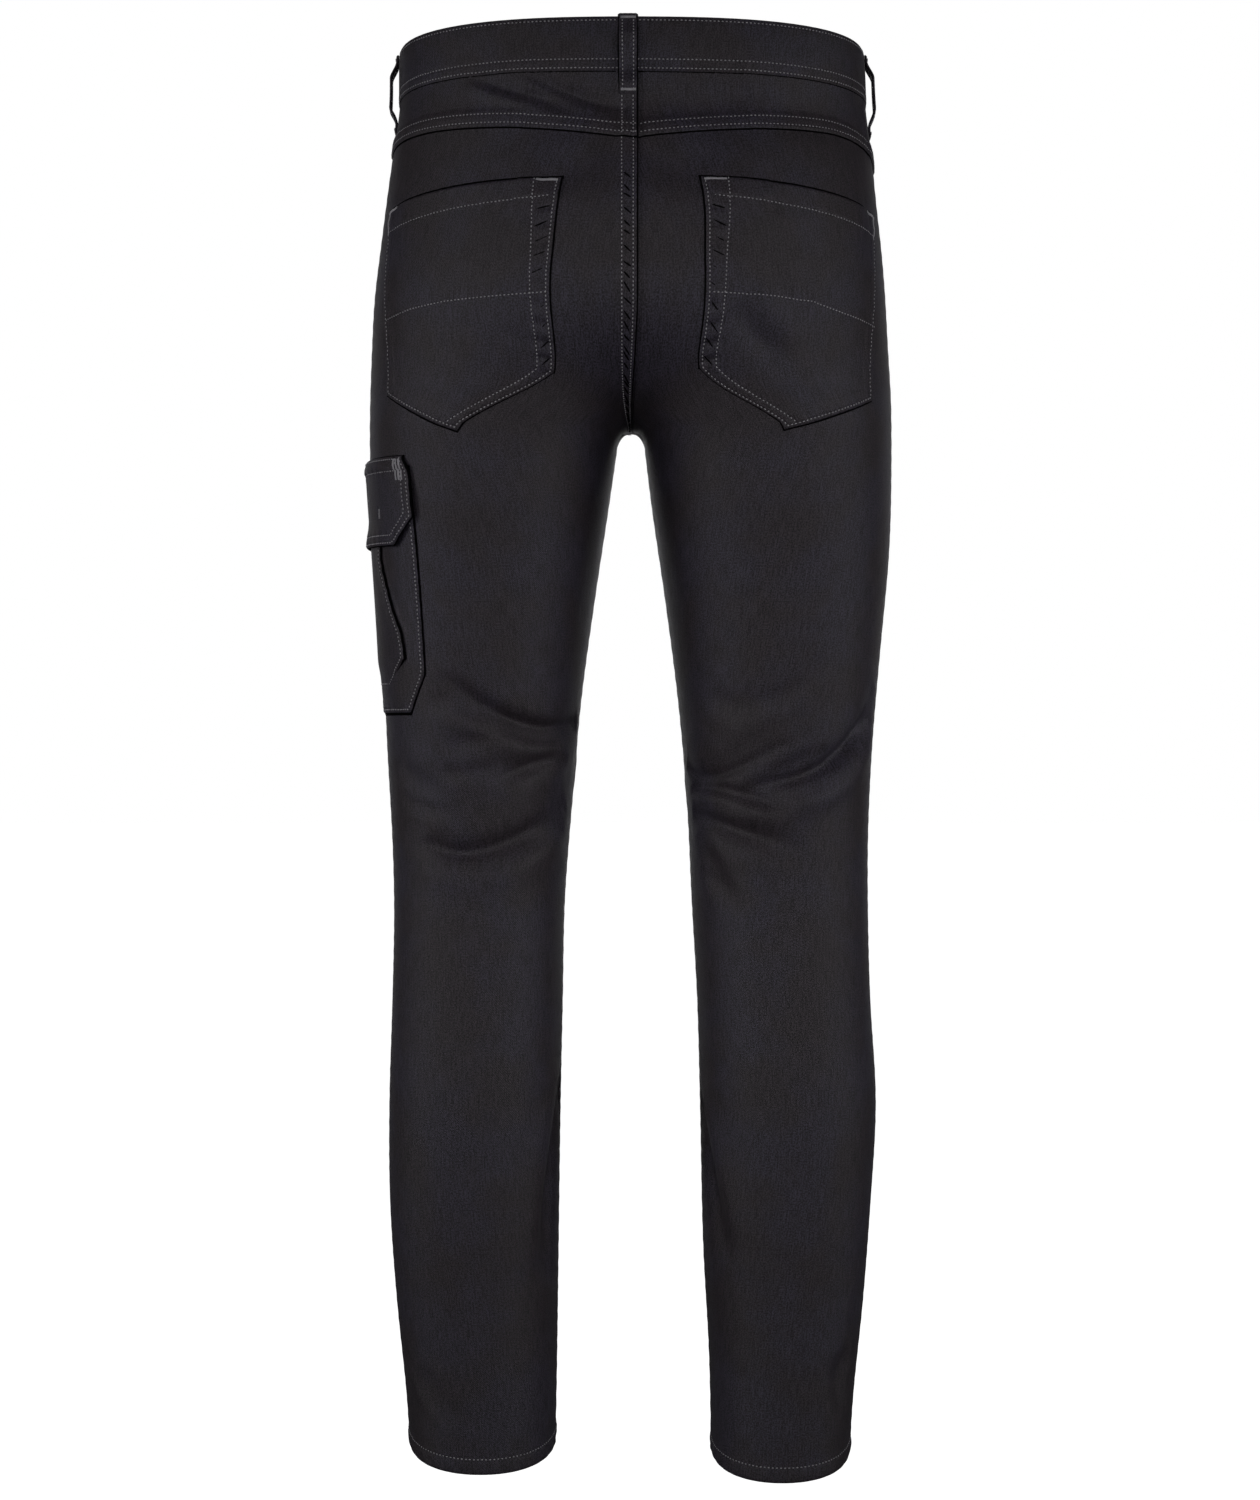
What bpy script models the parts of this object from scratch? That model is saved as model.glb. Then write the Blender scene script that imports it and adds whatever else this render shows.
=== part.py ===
"""Black jeans with a leg pocket, filled out as when worn, open at the waist and at both hems.

Each piece is cut flat as a grid, given its wall, and wrapped on one form of the garment.
Lengths are in millimetres until a piece is finished, when they are scaled to metres.
A place on the form is given by two cloth measures:
  girth  millimetres round from the side seam, negative to the front, positive to the back
  drop   millimetres down from the waistline, as measured along the side seam
+X is the wearer's left, +Y is behind the wearer, +Z is up.
The origin is the middle of the waist opening, at the height of the waistline.
"""
import math

import bmesh
import bpy
import numpy as np
from mathutils import Matrix, Vector

MM = 0.001

# Cloth and seams
CLOTH = 1.5             # wall of one panel
SEAM_GAP = 0.3          # between two pieces that a seam joins
LAY_GAP = 0.7           # between a panel and a piece that lies on it
BEHIND_GAP = 1.3        # between a panel and a piece behind it
SIDES = ("left", "right")

# Height of the waistline at the centre and at the side seam
WAIST_CENTRE = {"front": -29, "back": 6}
WAIST_SIDE = -7
WAIST_CURVE = {"front": 2.4, "back": 3.2}   # power of its fall from the centre to the side
WAIST_FADE = 190        # drop at which the rows of the form have become level

# Outline of the garment. left and right: half widths to the side seams.
# front and back: how far the cloth stands ahead of the origin and behind it.
# seam: how far behind the origin the side seam runs.
OUTLINE_COLUMNS = ("drop", "left", "right", "front", "back", "seam")
OUTLINE = (
    (-10, 168.5, 169.0, 109, 109, 0),
    (0, 168.5, 169.5, 110, 111, 0),
    (40, 168.5, 171.0, 113, 117, 2),
    (75, 173.5, 175.5, 116, 123, 3),
    (110, 178.0, 178.5, 118, 132, 4),
    (147, 182.5, 182.5, 119, 140, 4),
    (183, 187.0, 185.5, 119, 144, 3),
    (220, 189.0, 187.5, 117, 140, 1),
    (257, 190.5, 190.0, 114, 130, -2),
    (293, 191.0, 190.5, 111, 118, -4),
    (367, 186.0, 189.0, 106, 101, -6),
    (440, 181.5, 182.5, 101, 88, -8),
    (513, 178.5, 176.5, 95, 76, -10),
    (586, 174.5, 173.5, 87, 67, -10),
    (623, 173.5, 173.5, 82, 66, -9),
    (696, 174.5, 175.0, 73, 70, -4),
    (770, 176.5, 179.0, 66, 74, 0),
    (843, 176.0, 175.0, 62, 71, 1),
    (916, 171.0, 169.5, 61, 65, 0),
    (990, 163.5, 162.0, 62, 62, -1),
    (1060, 160.0, 158.5, 63, 61, -1),
)

# Inner side of each leg, from the middle plane out to the inseam
INSEAM_COLUMNS = ("drop", "left", "right")
INSEAM = (
    (289, 10, 10),
    (330, 15.5, 14.5),
    (403, 26.5, 25),
    (477, 36.5, 34.5),
    (550, 43, 41),
    (623, 48.5, 44.5),
    (696, 50, 48.5),
    (770, 51.5, 50.5),
    (880, 53, 53),
    (953, 54, 57),
    (1060, 56, 59),
)

# Crotch: the centre seam runs in from front and back on two quarter ovals
CROTCH = 281            # drop at which all four panels meet
ARC_START = {"front": 215, "back": 178}
CROTCH_HALF_WIDE = 10   # from the middle plane to the inseam, just under the crotch
CROTCH_ROUND = 8        # height of the curve between the crotch seam and the inseam
LEG_BLEND = (185, 345)  # drops over which a hip section turns into a leg section
BLEND_REACH = 0.45      # share of a panel's width, from its centre seam, that turns sooner
SETTLE_TURNS = 60       # times that the rows of the form are rounded off
SETTLE_REACH = 0.14     # share of a panel's width over which its centre seam is left alone
HIP_SQUARE = 2.35       # power of the superellipse of a hip section, 2 is an ellipse
LEG_SQUARE = 2.2

# Table of the form
FORM_TOP = -12
FORM_BOTTOM = 1060
FORM_STEP = 2
FORM_COLUMNS = 48       # columns of one half of a side, from the centre or inseam to the side seam
RAYS = 121              # points that one section curve is worked out from

# Largest folds. Columns: side, points at the start, middle and end of the trough, its half
# width and its depth. A point is a girth and a drop.
FOLDS = (
    ("left", (105, 455), (158, 492), (236, 487), 9, 6.0),
    ("left", (75, 570), (122, 581), (194, 541), 12, 4.5),
    ("left", (128, 538), (156, 525), (192, 517), 9, 2.0),
    ("left", (50, 520), (70, 531), (94, 541), 9, 2.0),
    ("right", (146, 541), (98, 536), (30, 482), 12, 6.5),
    ("right", (222, 520), (176, 534), (119, 508), 9, 3.0),
    ("right", (208, 541), (150, 545), (112, 556), 10, 2.5),
    ("right", (202, 560), (150, 577), (98, 588), 12, 3.0),
    ("left", (-40, 478), (-96, 499), (-160, 486), 11, 3.0),
    ("left", (-236, 497), (-188, 523), (-120, 520), 11, 3.5),
    ("left", (-60, 574), (-112, 588), (-176, 566), 12, 2.5),
    ("right", (-36, 486), (-84, 512), (-150, 505), 12, 3.5),
    ("right", (-232, 512), (-180, 538), (-112, 548), 11, 3.0),
    ("right", (-70, 590), (-126, 597), (-184, 578), 12, 2.5),
)
FOLD_STEPS = 25         # points along one fold
FOLD_TAPER = 0.6        # how bluntly a trough ends
RIDGE_SHARE = 0.35      # height of the ridge beside a trough, as a share of the trough's depth
RIDGE_PLACE = 1.8       # distance of that ridge, in half widths

# Panels
BAND_DEEP = 38          # waistband, top edge to lower edge
YOKE_CENTRE = 84.5      # drop of the yoke's lower edge at the centre back
YOKE_LEAST = 73         # and where it is highest
YOKE_SIDE = {"left": 78, "right": 90}
YOKE_TURN = 0.6         # share of its width from which it falls again to the side seam
YOKE_ROWS = 3
PANEL_COLUMNS = {"front": 10, "back": 11}
PANEL_CROWD = 0.035     # how much closer the columns stand near the seams
PANEL_TOP_ROWS = 4      # rows between a panel's shaped top and the first level row
PANEL_ROWS = (          # level rows. Columns: first drop, last drop, rows between them
    (170, 265, 5),
    (265, 281, 2),
    (281, 289, 2),
    (289, 440, 6),
    (440, 610, 18),
    (610, 985, 10),
)
HEM_DROP = {"left": 1018, "right": 1024}
HEM_BACK = 16.5         # how much lower the hem hangs at the back than at its seams
HEM_FRONT = -10
HEM_DEEP = 11
HEM_EXTRA = 1.3         # the turned-up hem is this much thicker, on its inside
HEM_STEP = 1.5          # height over which it thickens

# Front pocket openings: a scoop out of each front panel, over a facing
SCOOP_WIDE = 108
SCOOP_DEEP = 66
FACING_WIDE = 126
FACING_DEEP = 84
FACING_GRID = (8, 6)    # faces across and down, as in the grids below

# Waistband
BAND_IN = 1.9           # how far its wall lies inside the form, and outside it
BAND_OUT = 1.0
BAND_LAP = 14           # the wearer's left end passes the centre front by this much
BAND_UNDER = 22         # the right end runs this far under it
BAND_DIP = 26           # length over which the right end moves in under the left end
BAND_GRID = (56, 3)

# Fly, behind the centre front; right and left are lengths to each side of it
ZIP_THICK = 1.0
ZIP_RIGHT = 13
ZIP_LEFT = 13
ZIP_START = 3           # below the waistband
ZIP_END = 196
ZIP_GRID = (2, 8)
SHIELD_RIGHT = 34
SHIELD_LEFT = 16
SHIELD_END = 205
SHIELD_GRID = (4, 8)

# Shank button
BUTTON_RADIUS = 8.5
BUTTON_THICK = 3.2
BUTTON_ROUND = 1.1
BUTTON_SIDES = 24
BUTTON_DROP = 20
BUTTON_ASIDE = 2        # towards the wearer's left

# Belt loops. Columns: name, side, girth of the loop's middle, drop of its lower end.
LOOPS = (
    ("belt_loop_back", "left", "centre", 57),
    ("belt_loop_side_left", "left", -1, 57),
    ("belt_loop_side_right", "right", -1, 60),
    ("belt_loop_front_left", "left", -146, 58),
    ("belt_loop_front_right", "right", -146, 58),
)
LOOP_WIDE = 12.5
LOOP_THICK = 1.9
LOOP_TOP = -1.5         # the folded top stands just above the band
LOOP_GAP = 5.5          # clear room for a belt between the loop and the band
LOOP_SEWN_TOP = 4       # lengths that are sewn down at its two ends
LOOP_SEWN_LOW = 6
LOOP_SWELL = 13         # length over which the loop leaves the band and comes back
LOOP_STEP = 6           # length over which it steps down from the band to the cloth below
LOOP_GRID = (2, 16)

# Back pockets. Columns: side, then the corners as girth and drop: inner and outer end of the
# top edge, inner and outer lower corner, and the tip.
POCKETS = (
    ("left", (202, 113), (49, 125), (208, 236), (74, 259), (151, 288)),
    ("right", (203, 113), (49, 128), (211, 231), (79, 262), (167, 286)),
)
POCKET_GRID = (11, 9)
POCKET_RISE = 2.5       # crown of the top edge between its two corners
POCKET_SWELL = 4.5      # bow of the inner side towards the centre seam

# Leg pocket round the wearer's left side seam
LEG_POCKET_MIDDLE = 20  # girth of its middle line
LEG_POCKET_TOP = 312
LEG_POCKET_BOTTOM = 486
LEG_POCKET_HALF_TOP = 82
LEG_POCKET_HALF_LOW = 71
LEG_POCKET_CUT = (17, 27)      # lower corners, cut off by this much across and up
LEG_POCKET_THICK = 1.2
LEG_POCKET_GRID = (14, 14)
OVERLAY_MIDDLE = 18
OVERLAY_TOP = 359
OVERLAY_BOTTOM = 467
OVERLAY_HALF_TOP = 35
OVERLAY_HALF_LOW = 57
OVERLAY_CUT = (26, 20)
OVERLAY_CURVE = 1.5     # power by which it widens downwards
OVERLAY_GRID = (10, 10)
FLAP_TOP = 303
FLAP_BOTTOM = 365.5
FLAP_HALF = 82
FLAP_CUT = (20, 19)
FLAP_THICK = 1.6
FLAP_LIFT_DROPS = (303, 309, 346, 356, 366)     # it rises over the patch, then over the overlay
FLAP_LIFTS = (0.7, 2.5, 2.5, 4.3, 4.3)
FLAP_GRID = (14, 7)

# Finish
SHARP_ANGLE = 40        # edges that turn by more are shaded sharp
BLACK_TWILL = (0.022, 0.020, 0.025)
BLACK_TWILL_DARK = (0.016, 0.015, 0.018)
GUNMETAL = (0.06, 0.06, 0.065)


def clear_scene():
    for thing in list(bpy.data.objects):
        bpy.data.objects.remove(thing, do_unlink=True)


def ease(share):
    """Smooth step from 0 to 1."""
    share = np.clip(share, 0, 1)
    return share * share * (3 - 2 * share)


def column_of(table, columns, name):
    return np.array([row[columns.index(name)] for row in table], float)


def look_up(table, columns, name, drop):
    """A column's value at a drop, on a smooth curve through the table's rows."""
    drops = column_of(table, columns, "drop")
    values = column_of(table, columns, name)
    slopes = np.gradient(values, drops)
    row = int(np.clip(np.searchsorted(drops, drop) - 1, 0, len(drops) - 2))
    gap = drops[row + 1] - drops[row]
    share = (drop - drops[row]) / gap
    near = (1 + 2 * share) * (1 - share) ** 2 * values[row]
    far = share ** 2 * (3 - 2 * share) * values[row + 1]
    lean = share * (1 - share) ** 2 * slopes[row] - share ** 2 * (1 - share) * slopes[row + 1]
    return near + far + gap * lean


def spaced_evenly(points):
    """The same curve with FORM_COLUMNS equal steps along its length."""
    steps = np.linalg.norm(np.diff(points, axis=0), axis=1)
    run = np.concatenate(([0], np.cumsum(steps)))
    even = np.linspace(0, run[-1], FORM_COLUMNS + 1)
    return np.stack([np.interp(even, run, points[:, axis]) for axis in (0, 1)], axis=1)


def hip_section(outer, seam, depth, way):
    """Plan of half a hip section, from the centre seam to the side seam."""
    angle = np.linspace(0, math.pi / 2, RAYS)
    x = outer * np.sin(angle) ** (2 / HIP_SQUARE)
    y = seam + way * depth * np.cos(angle).clip(0) ** (2 / HIP_SQUARE)
    return spaced_evenly(np.stack([x, y], axis=1))


def leg_section(inner, outer, seam, depth, way):
    """Plan of half a leg section, from the inseam to the side seam."""
    angle = np.linspace(0, math.pi, 2 * RAYS)
    turn = np.cos(angle)
    x = (inner + outer) / 2 - (outer - inner) / 2 * np.sign(turn) * np.abs(turn) ** (2 / LEG_SQUARE)
    y = seam + way * depth * np.sin(angle).clip(0) ** (2 / LEG_SQUARE)
    return spaced_evenly(np.stack([x, y], axis=1))


def waist_rise(half, shares):
    """Height of the waistline along half a section, from the centre to the side seam."""
    centre = WAIST_CENTRE[half]
    return centre + (WAIST_SIDE - centre) * shares ** WAIST_CURVE[half]


def half_ring(side, half, drop):
    """Points of the form at one drop, from the centre seam or inseam to the side seam."""
    way = -1 if half == "front" else 1
    outer = look_up(OUTLINE, OUTLINE_COLUMNS, side, drop)
    seam = look_up(OUTLINE, OUTLINE_COLUMNS, "seam", drop)
    depth = look_up(OUTLINE, OUTLINE_COLUMNS, half, drop) - way * seam
    start = ARC_START[half]
    arc = math.pi / 2 * np.clip((drop - start) / (CROTCH - start), 0, 1)
    under = math.pi / 2 * np.clip((drop - CROTCH) / CROTCH_ROUND, 0, 1)
    inner = CROTCH_HALF_WIDE * math.sin(under)
    end_height = -drop
    if drop > CROTCH + CROTCH_ROUND:
        inner = look_up(INSEAM, INSEAM_COLUMNS, side, drop)
    elif drop > CROTCH:
        end_height = -CROTCH - CROTCH_ROUND * (1 - math.cos(under))
    elif drop > start:
        end_height = -start - (CROTCH - start) * math.sin(arc)
    shares = np.linspace(0, 1, FORM_COLUMNS + 1)
    from_end = ease(shares / BLEND_REACH)
    blend_start, blend_end = LEG_BLEND
    blend_middle = ease((drop - blend_start) / (blend_end - blend_start))
    blend = (1 - math.cos(arc)) * (1 - from_end) + blend_middle * from_end
    hip = hip_section(outer, seam, depth, way)
    leg = leg_section(inner, outer, seam, depth, way)
    plan = hip + (leg - hip) * blend[:, None]
    height = -drop + (end_height + drop) * (1 - shares) ** 2
    height = height + waist_rise(half, shares) * (1 - ease(drop / WAIST_FADE))
    return np.column_stack([plan, height])


def fold_curve(start, middle, end):
    """Points of a parabola through a fold's start, middle and end, in girth and drop."""
    start, middle, end = (np.array(point, float) for point in (start, middle, end))
    pull = 2 * middle - (start + end) / 2
    along = np.linspace(0, 1, FOLD_STEPS)[:, None]
    return start * (1 - along) ** 2 + pull * 2 * along * (1 - along) + end * along ** 2


def fold_height(girths, drops, start, middle, end, width, depth):
    """How far one fold moves each place of the form: in at its trough, out at the ridge below."""
    curve = fold_curve(start, middle, end)
    away = np.stack([girths, drops], axis=-1)[..., None, :] - curve
    nearest = np.argmin((away ** 2).sum(-1), axis=-1)
    gap = np.take_along_axis(away, nearest[..., None, None], axis=-2)[..., 0, :]
    distance = np.sqrt((gap ** 2).sum(-1)) * np.where(gap[..., 1] >= 0, 1, -1)
    taper = np.sin(math.pi * nearest / (FOLD_STEPS - 1)) ** FOLD_TAPER
    trough = np.exp(-(distance / width) ** 2)
    ridge = RIDGE_SHARE * np.exp(-(distance / width - RIDGE_PLACE) ** 2)
    return depth * taper * (ridge - trough)


class Form:
    """One side of the garment: a table of points, rows down and columns from front to back."""

    def __init__(self, side):
        self.side = side
        self.drops = np.arange(FORM_TOP, FORM_BOTTOM + FORM_STEP, FORM_STEP, dtype=float)
        rings = []
        for drop in self.drops:
            front = half_ring(side, "front", drop)
            back = half_ring(side, "back", drop)[::-1]
            rings.append(np.concatenate([front, back[1:]]))
        self.points = np.array(rings)
        self.settle()
        self.measure()
        self.press_folds()
        self.measure()

    def settle(self):
        """Round off the rows where hip turns into leg, away from the centre seam and inseam."""
        from_seam = 1 - np.abs(np.linspace(-1, 1, 2 * FORM_COLUMNS + 1))
        free = ease(from_seam / SETTLE_REACH)[None, :, None]
        for _ in range(SETTLE_TURNS):
            between = (self.points[:-2] + self.points[2:]) / 2
            self.points[1:-1] += free * (between - self.points[1:-1]) / 2

    def measure(self):
        """Work out the normals, and the girth of the front half and the back half of each row."""
        before = np.roll(self.points, 1, axis=1)
        after = np.roll(self.points, -1, axis=1)
        leg = self.drops > CROTCH
        hip = ~leg
        mirrored = np.array([-1, 1, 1])
        before[leg, 0] = self.points[leg, -2]
        after[leg, -1] = self.points[leg, 1]
        before[hip, 0] = self.points[hip, 1] * mirrored
        after[hip, -1] = self.points[hip, -2] * mirrored
        down = np.gradient(self.points, axis=0)
        normals = np.cross(down, after - before)
        self.normals = normals / np.linalg.norm(normals, axis=2, keepdims=True)
        steps = np.linalg.norm(np.diff(self.points, axis=1), axis=2)
        self.girth = {
            "front": steps[:, :FORM_COLUMNS].sum(axis=1),
            "back": steps[:, FORM_COLUMNS:].sum(axis=1),
        }

    def press_folds(self):
        shares = np.linspace(-1, 1, 2 * FORM_COLUMNS + 1)
        front = self.girth["front"][:, None] * shares.clip(max=0)
        back = self.girth["back"][:, None] * shares.clip(min=0)
        girths = front + back
        drops = np.repeat(self.drops[:, None], len(shares), axis=1)
        for side, start, middle, end, width, depth in FOLDS:
            if side == self.side:
                move = fold_height(girths, drops, start, middle, end, width, depth)
                self.points = self.points + self.normals * move[..., None]

    def half_girth(self, half, drop):
        return float(np.interp(drop, self.drops, self.girth[half]))

    def at(self, girth, drop, lift=0.0):
        """The point at a girth and a drop, moved out from the form by lift."""
        half = "back" if girth >= 0 else "front"
        share = np.clip(girth / self.half_girth(half, drop), -1, 1)
        column = min(FORM_COLUMNS * (1 + share), 2 * FORM_COLUMNS - 1e-6)
        row = np.clip((drop - FORM_TOP) / FORM_STEP, 0, len(self.drops) - 1.001)
        i, j = int(row), int(column)
        down, across = row - i, column - j
        weights = np.array([[(1 - down) * (1 - across), (1 - down) * across],
                            [down * (1 - across), down * across]])[..., None]
        point = (self.points[i:i + 2, j:j + 2] * weights).sum(axis=(0, 1))
        normal = (self.normals[i:i + 2, j:j + 2] * weights).sum(axis=(0, 1))
        point = point + normal / np.linalg.norm(normal) * lift
        point[0] += SEAM_GAP / 2
        if self.side == "right":
            point[0] = -point[0]
        return Vector(point)


def across_front(forms, aside, drop, lift):
    """A place near the centre front: aside is positive to the wearer's left, negative to the right."""
    form = forms["left" if aside >= 0 else "right"]
    return form.at(abs(aside) - form.half_girth("front", drop), drop, lift)


def finish_material(name, colour, roughness, metallic):
    material = bpy.data.materials.new(name)
    material.use_nodes = True
    shader = material.node_tree.nodes["Principled BSDF"]
    shader.inputs["Base Color"].default_value = (*colour, 1)
    shader.inputs["Roughness"].default_value = roughness
    shader.inputs["Metallic"].default_value = metallic
    return material


def add_piece(name, bm, colour=BLACK_TWILL, roughness=0.85, metallic=0.0):
    """Scale a finished mesh to metres, point its faces out and put it in the scene."""
    bmesh.ops.scale(bm, verts=bm.verts, vec=(MM, MM, MM))
    bmesh.ops.recalc_face_normals(bm, faces=bm.faces)
    mesh = bpy.data.meshes.new(name)
    bm.to_mesh(mesh)
    bm.free()
    mesh.shade_smooth()
    mesh.set_sharp_from_angle(angle=math.radians(SHARP_ANGLE))
    mesh.materials.append(finish_material(name, colour, roughness, metallic))
    bpy.context.scene.collection.objects.link(bpy.data.objects.new(name, mesh))


def cut_and_wrap(name, grid, place, colour=BLACK_TWILL):
    """Cut a flat grid of (across, down) faces, give it a wall, and wrap it on the form.

    place(a, b, c) is given the share across, the share down and the share through the wall,
    each from 0 to 1, and returns the point where that place of the piece lies.
    """
    bm = bmesh.new()
    bmesh.ops.create_grid(bm, x_segments=grid[0], y_segments=grid[1], size=0.5)
    bmesh.ops.translate(bm, verts=bm.verts, vec=(0.5, 0.5, 0))
    walled = bmesh.ops.extrude_face_region(bm, geom=bm.faces[:])
    outer = [part for part in walled["geom"] if isinstance(part, bmesh.types.BMVert)]
    bmesh.ops.translate(bm, verts=outer, vec=(0, 0, 1))
    for vert in bm.verts:
        vert.co = place(*vert.co)
    add_piece(name, bm, colour)


def panel_share(a):
    """Share of a panel's width for an even share a, with the columns crowded at its seams."""
    return a - PANEL_CROWD * math.sin(2 * math.pi * a)


def panel_girth(form, half, a, drop):
    """Girth of a place on a panel, a from 0 at the centre seam or inseam to 1 at the side seam."""
    whole = form.half_girth(half, drop)
    trim_in = SEAM_GAP / 2 if drop >= CROTCH else 0
    trim_out = SEAM_GAP / 2
    from_side = trim_out + (whole - trim_in - trim_out) * (1 - panel_share(a))
    return from_side if half == "back" else -from_side


def yoke_line(side, a):
    """Drop of the seam under one yoke, from the centre back to the side seam."""
    near_centre = (YOKE_CENTRE - YOKE_LEAST) * (1 - a) ** 3
    near_side = (YOKE_SIDE[side] - YOKE_LEAST) * max(0, (a - YOKE_TURN) / (1 - YOKE_TURN)) ** 2
    return YOKE_LEAST + near_centre + near_side


def scoop_line(form, a):
    """Drop of a front panel's top edge: the waistband's edge, then the pocket opening."""
    from_side = -panel_girth(form, "front", a, BAND_DEEP)
    share = max(0, 1 - from_side / SCOOP_WIDE)
    return BAND_DEEP + SCOOP_DEEP * math.sin(math.pi / 2 * share)


def hem_line(side, half, a):
    swing = HEM_BACK if half == "back" else HEM_FRONT
    return HEM_DROP[side] + swing * math.sin(math.pi * a)


def level_rows():
    rows = [PANEL_ROWS[0][0]]
    for start, end, count in PANEL_ROWS:
        rows += [start + (end - start) * step / count for step in range(1, count + 1)]
    return rows


def make_panel(form, half):
    """Front or back panel of one side, from the waistband or yoke to the hem."""
    level = level_rows()
    hem_start = PANEL_TOP_ROWS + len(level)
    last = hem_start + 2

    def row_drop(a, row):
        top = yoke_line(form.side, a) if half == "back" else scoop_line(form, a)
        top += SEAM_GAP / 2
        hem = hem_line(form.side, half, a)
        if row < PANEL_TOP_ROWS:
            return top + (level[0] - top) * row / PANEL_TOP_ROWS
        if row < hem_start:
            return level[row - PANEL_TOP_ROWS]
        return (hem - HEM_DEEP, hem - HEM_DEEP + HEM_STEP, hem)[row - hem_start]

    def place(a, b, c):
        row = round(b * last)
        drop = row_drop(a, row)
        inside = CLOTH + (HEM_EXTRA if row > hem_start else 0)
        return form.at(panel_girth(form, half, a, drop), drop, -inside * (1 - c))

    cut_and_wrap(f"{half}_{form.side}", (PANEL_COLUMNS[half], last), place)


def make_yoke(form):
    """Shaped strip between the waistband and the back panel of one side."""
    def place(a, b, c):
        top = BAND_DEEP + SEAM_GAP / 2
        drop = top + (yoke_line(form.side, a) - SEAM_GAP / 2 - top) * b
        return form.at(panel_girth(form, "back", a, drop), drop, -CLOTH * (1 - c))

    cut_and_wrap(f"yoke_{form.side}", (PANEL_COLUMNS["back"], YOKE_ROWS), place)


def make_facing(form):
    """Cloth behind one front pocket opening, from the waistband and the side seam."""
    def place(a, b, c):
        top = BAND_DEEP + SEAM_GAP / 2
        drop = top + FACING_DEEP * b
        girth = -SEAM_GAP / 2 - FACING_WIDE * a
        return form.at(girth, drop, -2 * CLOTH - BEHIND_GAP + CLOTH * c)

    cut_and_wrap(f"pocket_facing_{form.side}", FACING_GRID, place)


def make_waistband(forms):
    """One strip round the waist: the left end laps over the right end at the centre front."""
    middle = BAND_DEEP / 2
    front = {side: forms[side].half_girth("front", middle) for side in SIDES}
    back = {side: forms[side].half_girth("back", middle) for side in SIDES}
    left = front["left"] + back["left"]
    around = left + front["right"] + back["right"]
    length = BAND_LAP + around + BAND_UNDER

    def place(a, b, c):
        run = -BAND_LAP + length * a
        drop = (BAND_DEEP - SEAM_GAP / 2) * b
        under = ease((run - around + BAND_LAP + BAND_DIP) / BAND_DIP)
        lift = -BAND_IN + (BAND_IN + BAND_OUT) * c - (BAND_IN + BAND_OUT + LAY_GAP) * under
        from_front = run if run <= left else run - around
        side = "left" if from_front >= 0 else "right"
        from_side = abs(from_front) - front[side]
        half = "front" if from_side < 0 else "back"
        share = from_side / (front[side] if half == "front" else back[side])
        return forms[side].at(forms[side].half_girth(half, drop) * share, drop, lift)

    cut_and_wrap("waistband", BAND_GRID, place)


def make_fly(forms):
    """Closed zip behind the centre front, and the shield behind the zip."""
    top = BAND_DEEP + SEAM_GAP / 2
    zip_back = -CLOTH - BEHIND_GAP - ZIP_THICK
    shield_back = zip_back - LAY_GAP - CLOTH

    def place_zip(a, b, c):
        aside = -ZIP_RIGHT + (ZIP_RIGHT + ZIP_LEFT) * a
        drop = top + ZIP_START + (ZIP_END - top - ZIP_START) * b
        return across_front(forms, aside, drop, zip_back + ZIP_THICK * c)

    def place_shield(a, b, c):
        aside = -SHIELD_RIGHT + (SHIELD_RIGHT + SHIELD_LEFT) * a
        drop = top + (SHIELD_END - top) * b
        return across_front(forms, aside, drop, shield_back + CLOTH * c)

    cut_and_wrap("fly_zip", ZIP_GRID, place_zip, BLACK_TWILL_DARK)
    cut_and_wrap("fly_shield", SHIELD_GRID, place_shield, BLACK_TWILL_DARK)


def make_button(forms):
    """Head of the shank button, flat on the waistband's lapped end."""
    base = across_front(forms, BUTTON_ASIDE, BUTTON_DROP, BAND_OUT + LAY_GAP)
    tip = across_front(forms, BUTTON_ASIDE, BUTTON_DROP, BAND_OUT + LAY_GAP + BUTTON_THICK)
    bm = bmesh.new()
    bmesh.ops.create_cone(bm, cap_ends=True, segments=BUTTON_SIDES, radius1=BUTTON_RADIUS,
                          radius2=BUTTON_RADIUS, depth=BUTTON_THICK)
    rim = [edge for edge in bm.edges if all(vert.co.z > 0 for vert in edge.verts)]
    bmesh.ops.bevel(bm, geom=rim, offset=BUTTON_ROUND, offset_type="OFFSET", segments=2,
                    profile=0.5, affect="EDGES", material=-1)
    turn = Vector((0, 0, 1)).rotation_difference(tip - base).to_matrix().to_4x4()
    bmesh.ops.transform(bm, matrix=Matrix.Translation((base + tip) / 2) @ turn, verts=bm.verts)
    add_piece("waist_button", bm, GUNMETAL, 0.4, 1.0)


def make_belt_loop(forms, name, side, girth, end):
    """Folded strip sewn down above and below the waistband, standing off it between."""
    def loop_lift(drop):
        base = LAY_GAP + np.interp(drop, (BAND_DEEP, BAND_DEEP + LOOP_STEP), (BAND_OUT, 0))
        leave = ease((drop - LOOP_TOP - LOOP_SEWN_TOP) / LOOP_SWELL)
        come_back = ease((end - LOOP_SEWN_LOW - drop) / LOOP_SWELL)
        return base + (LOOP_GAP - LAY_GAP) * leave * come_back

    def place(a, b, c):
        drop = LOOP_TOP + (end - LOOP_TOP) * b
        aside = LOOP_WIDE * (a - 0.5)
        lift = loop_lift(drop) + LOOP_THICK * c
        if girth == "centre":
            form = forms["left" if aside >= 0 else "right"]
            return form.at(form.half_girth("back", drop) - abs(aside), drop, lift)
        return forms[side].at(girth + aside, drop, lift)

    cut_and_wrap(name, LOOP_GRID, place)


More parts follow.
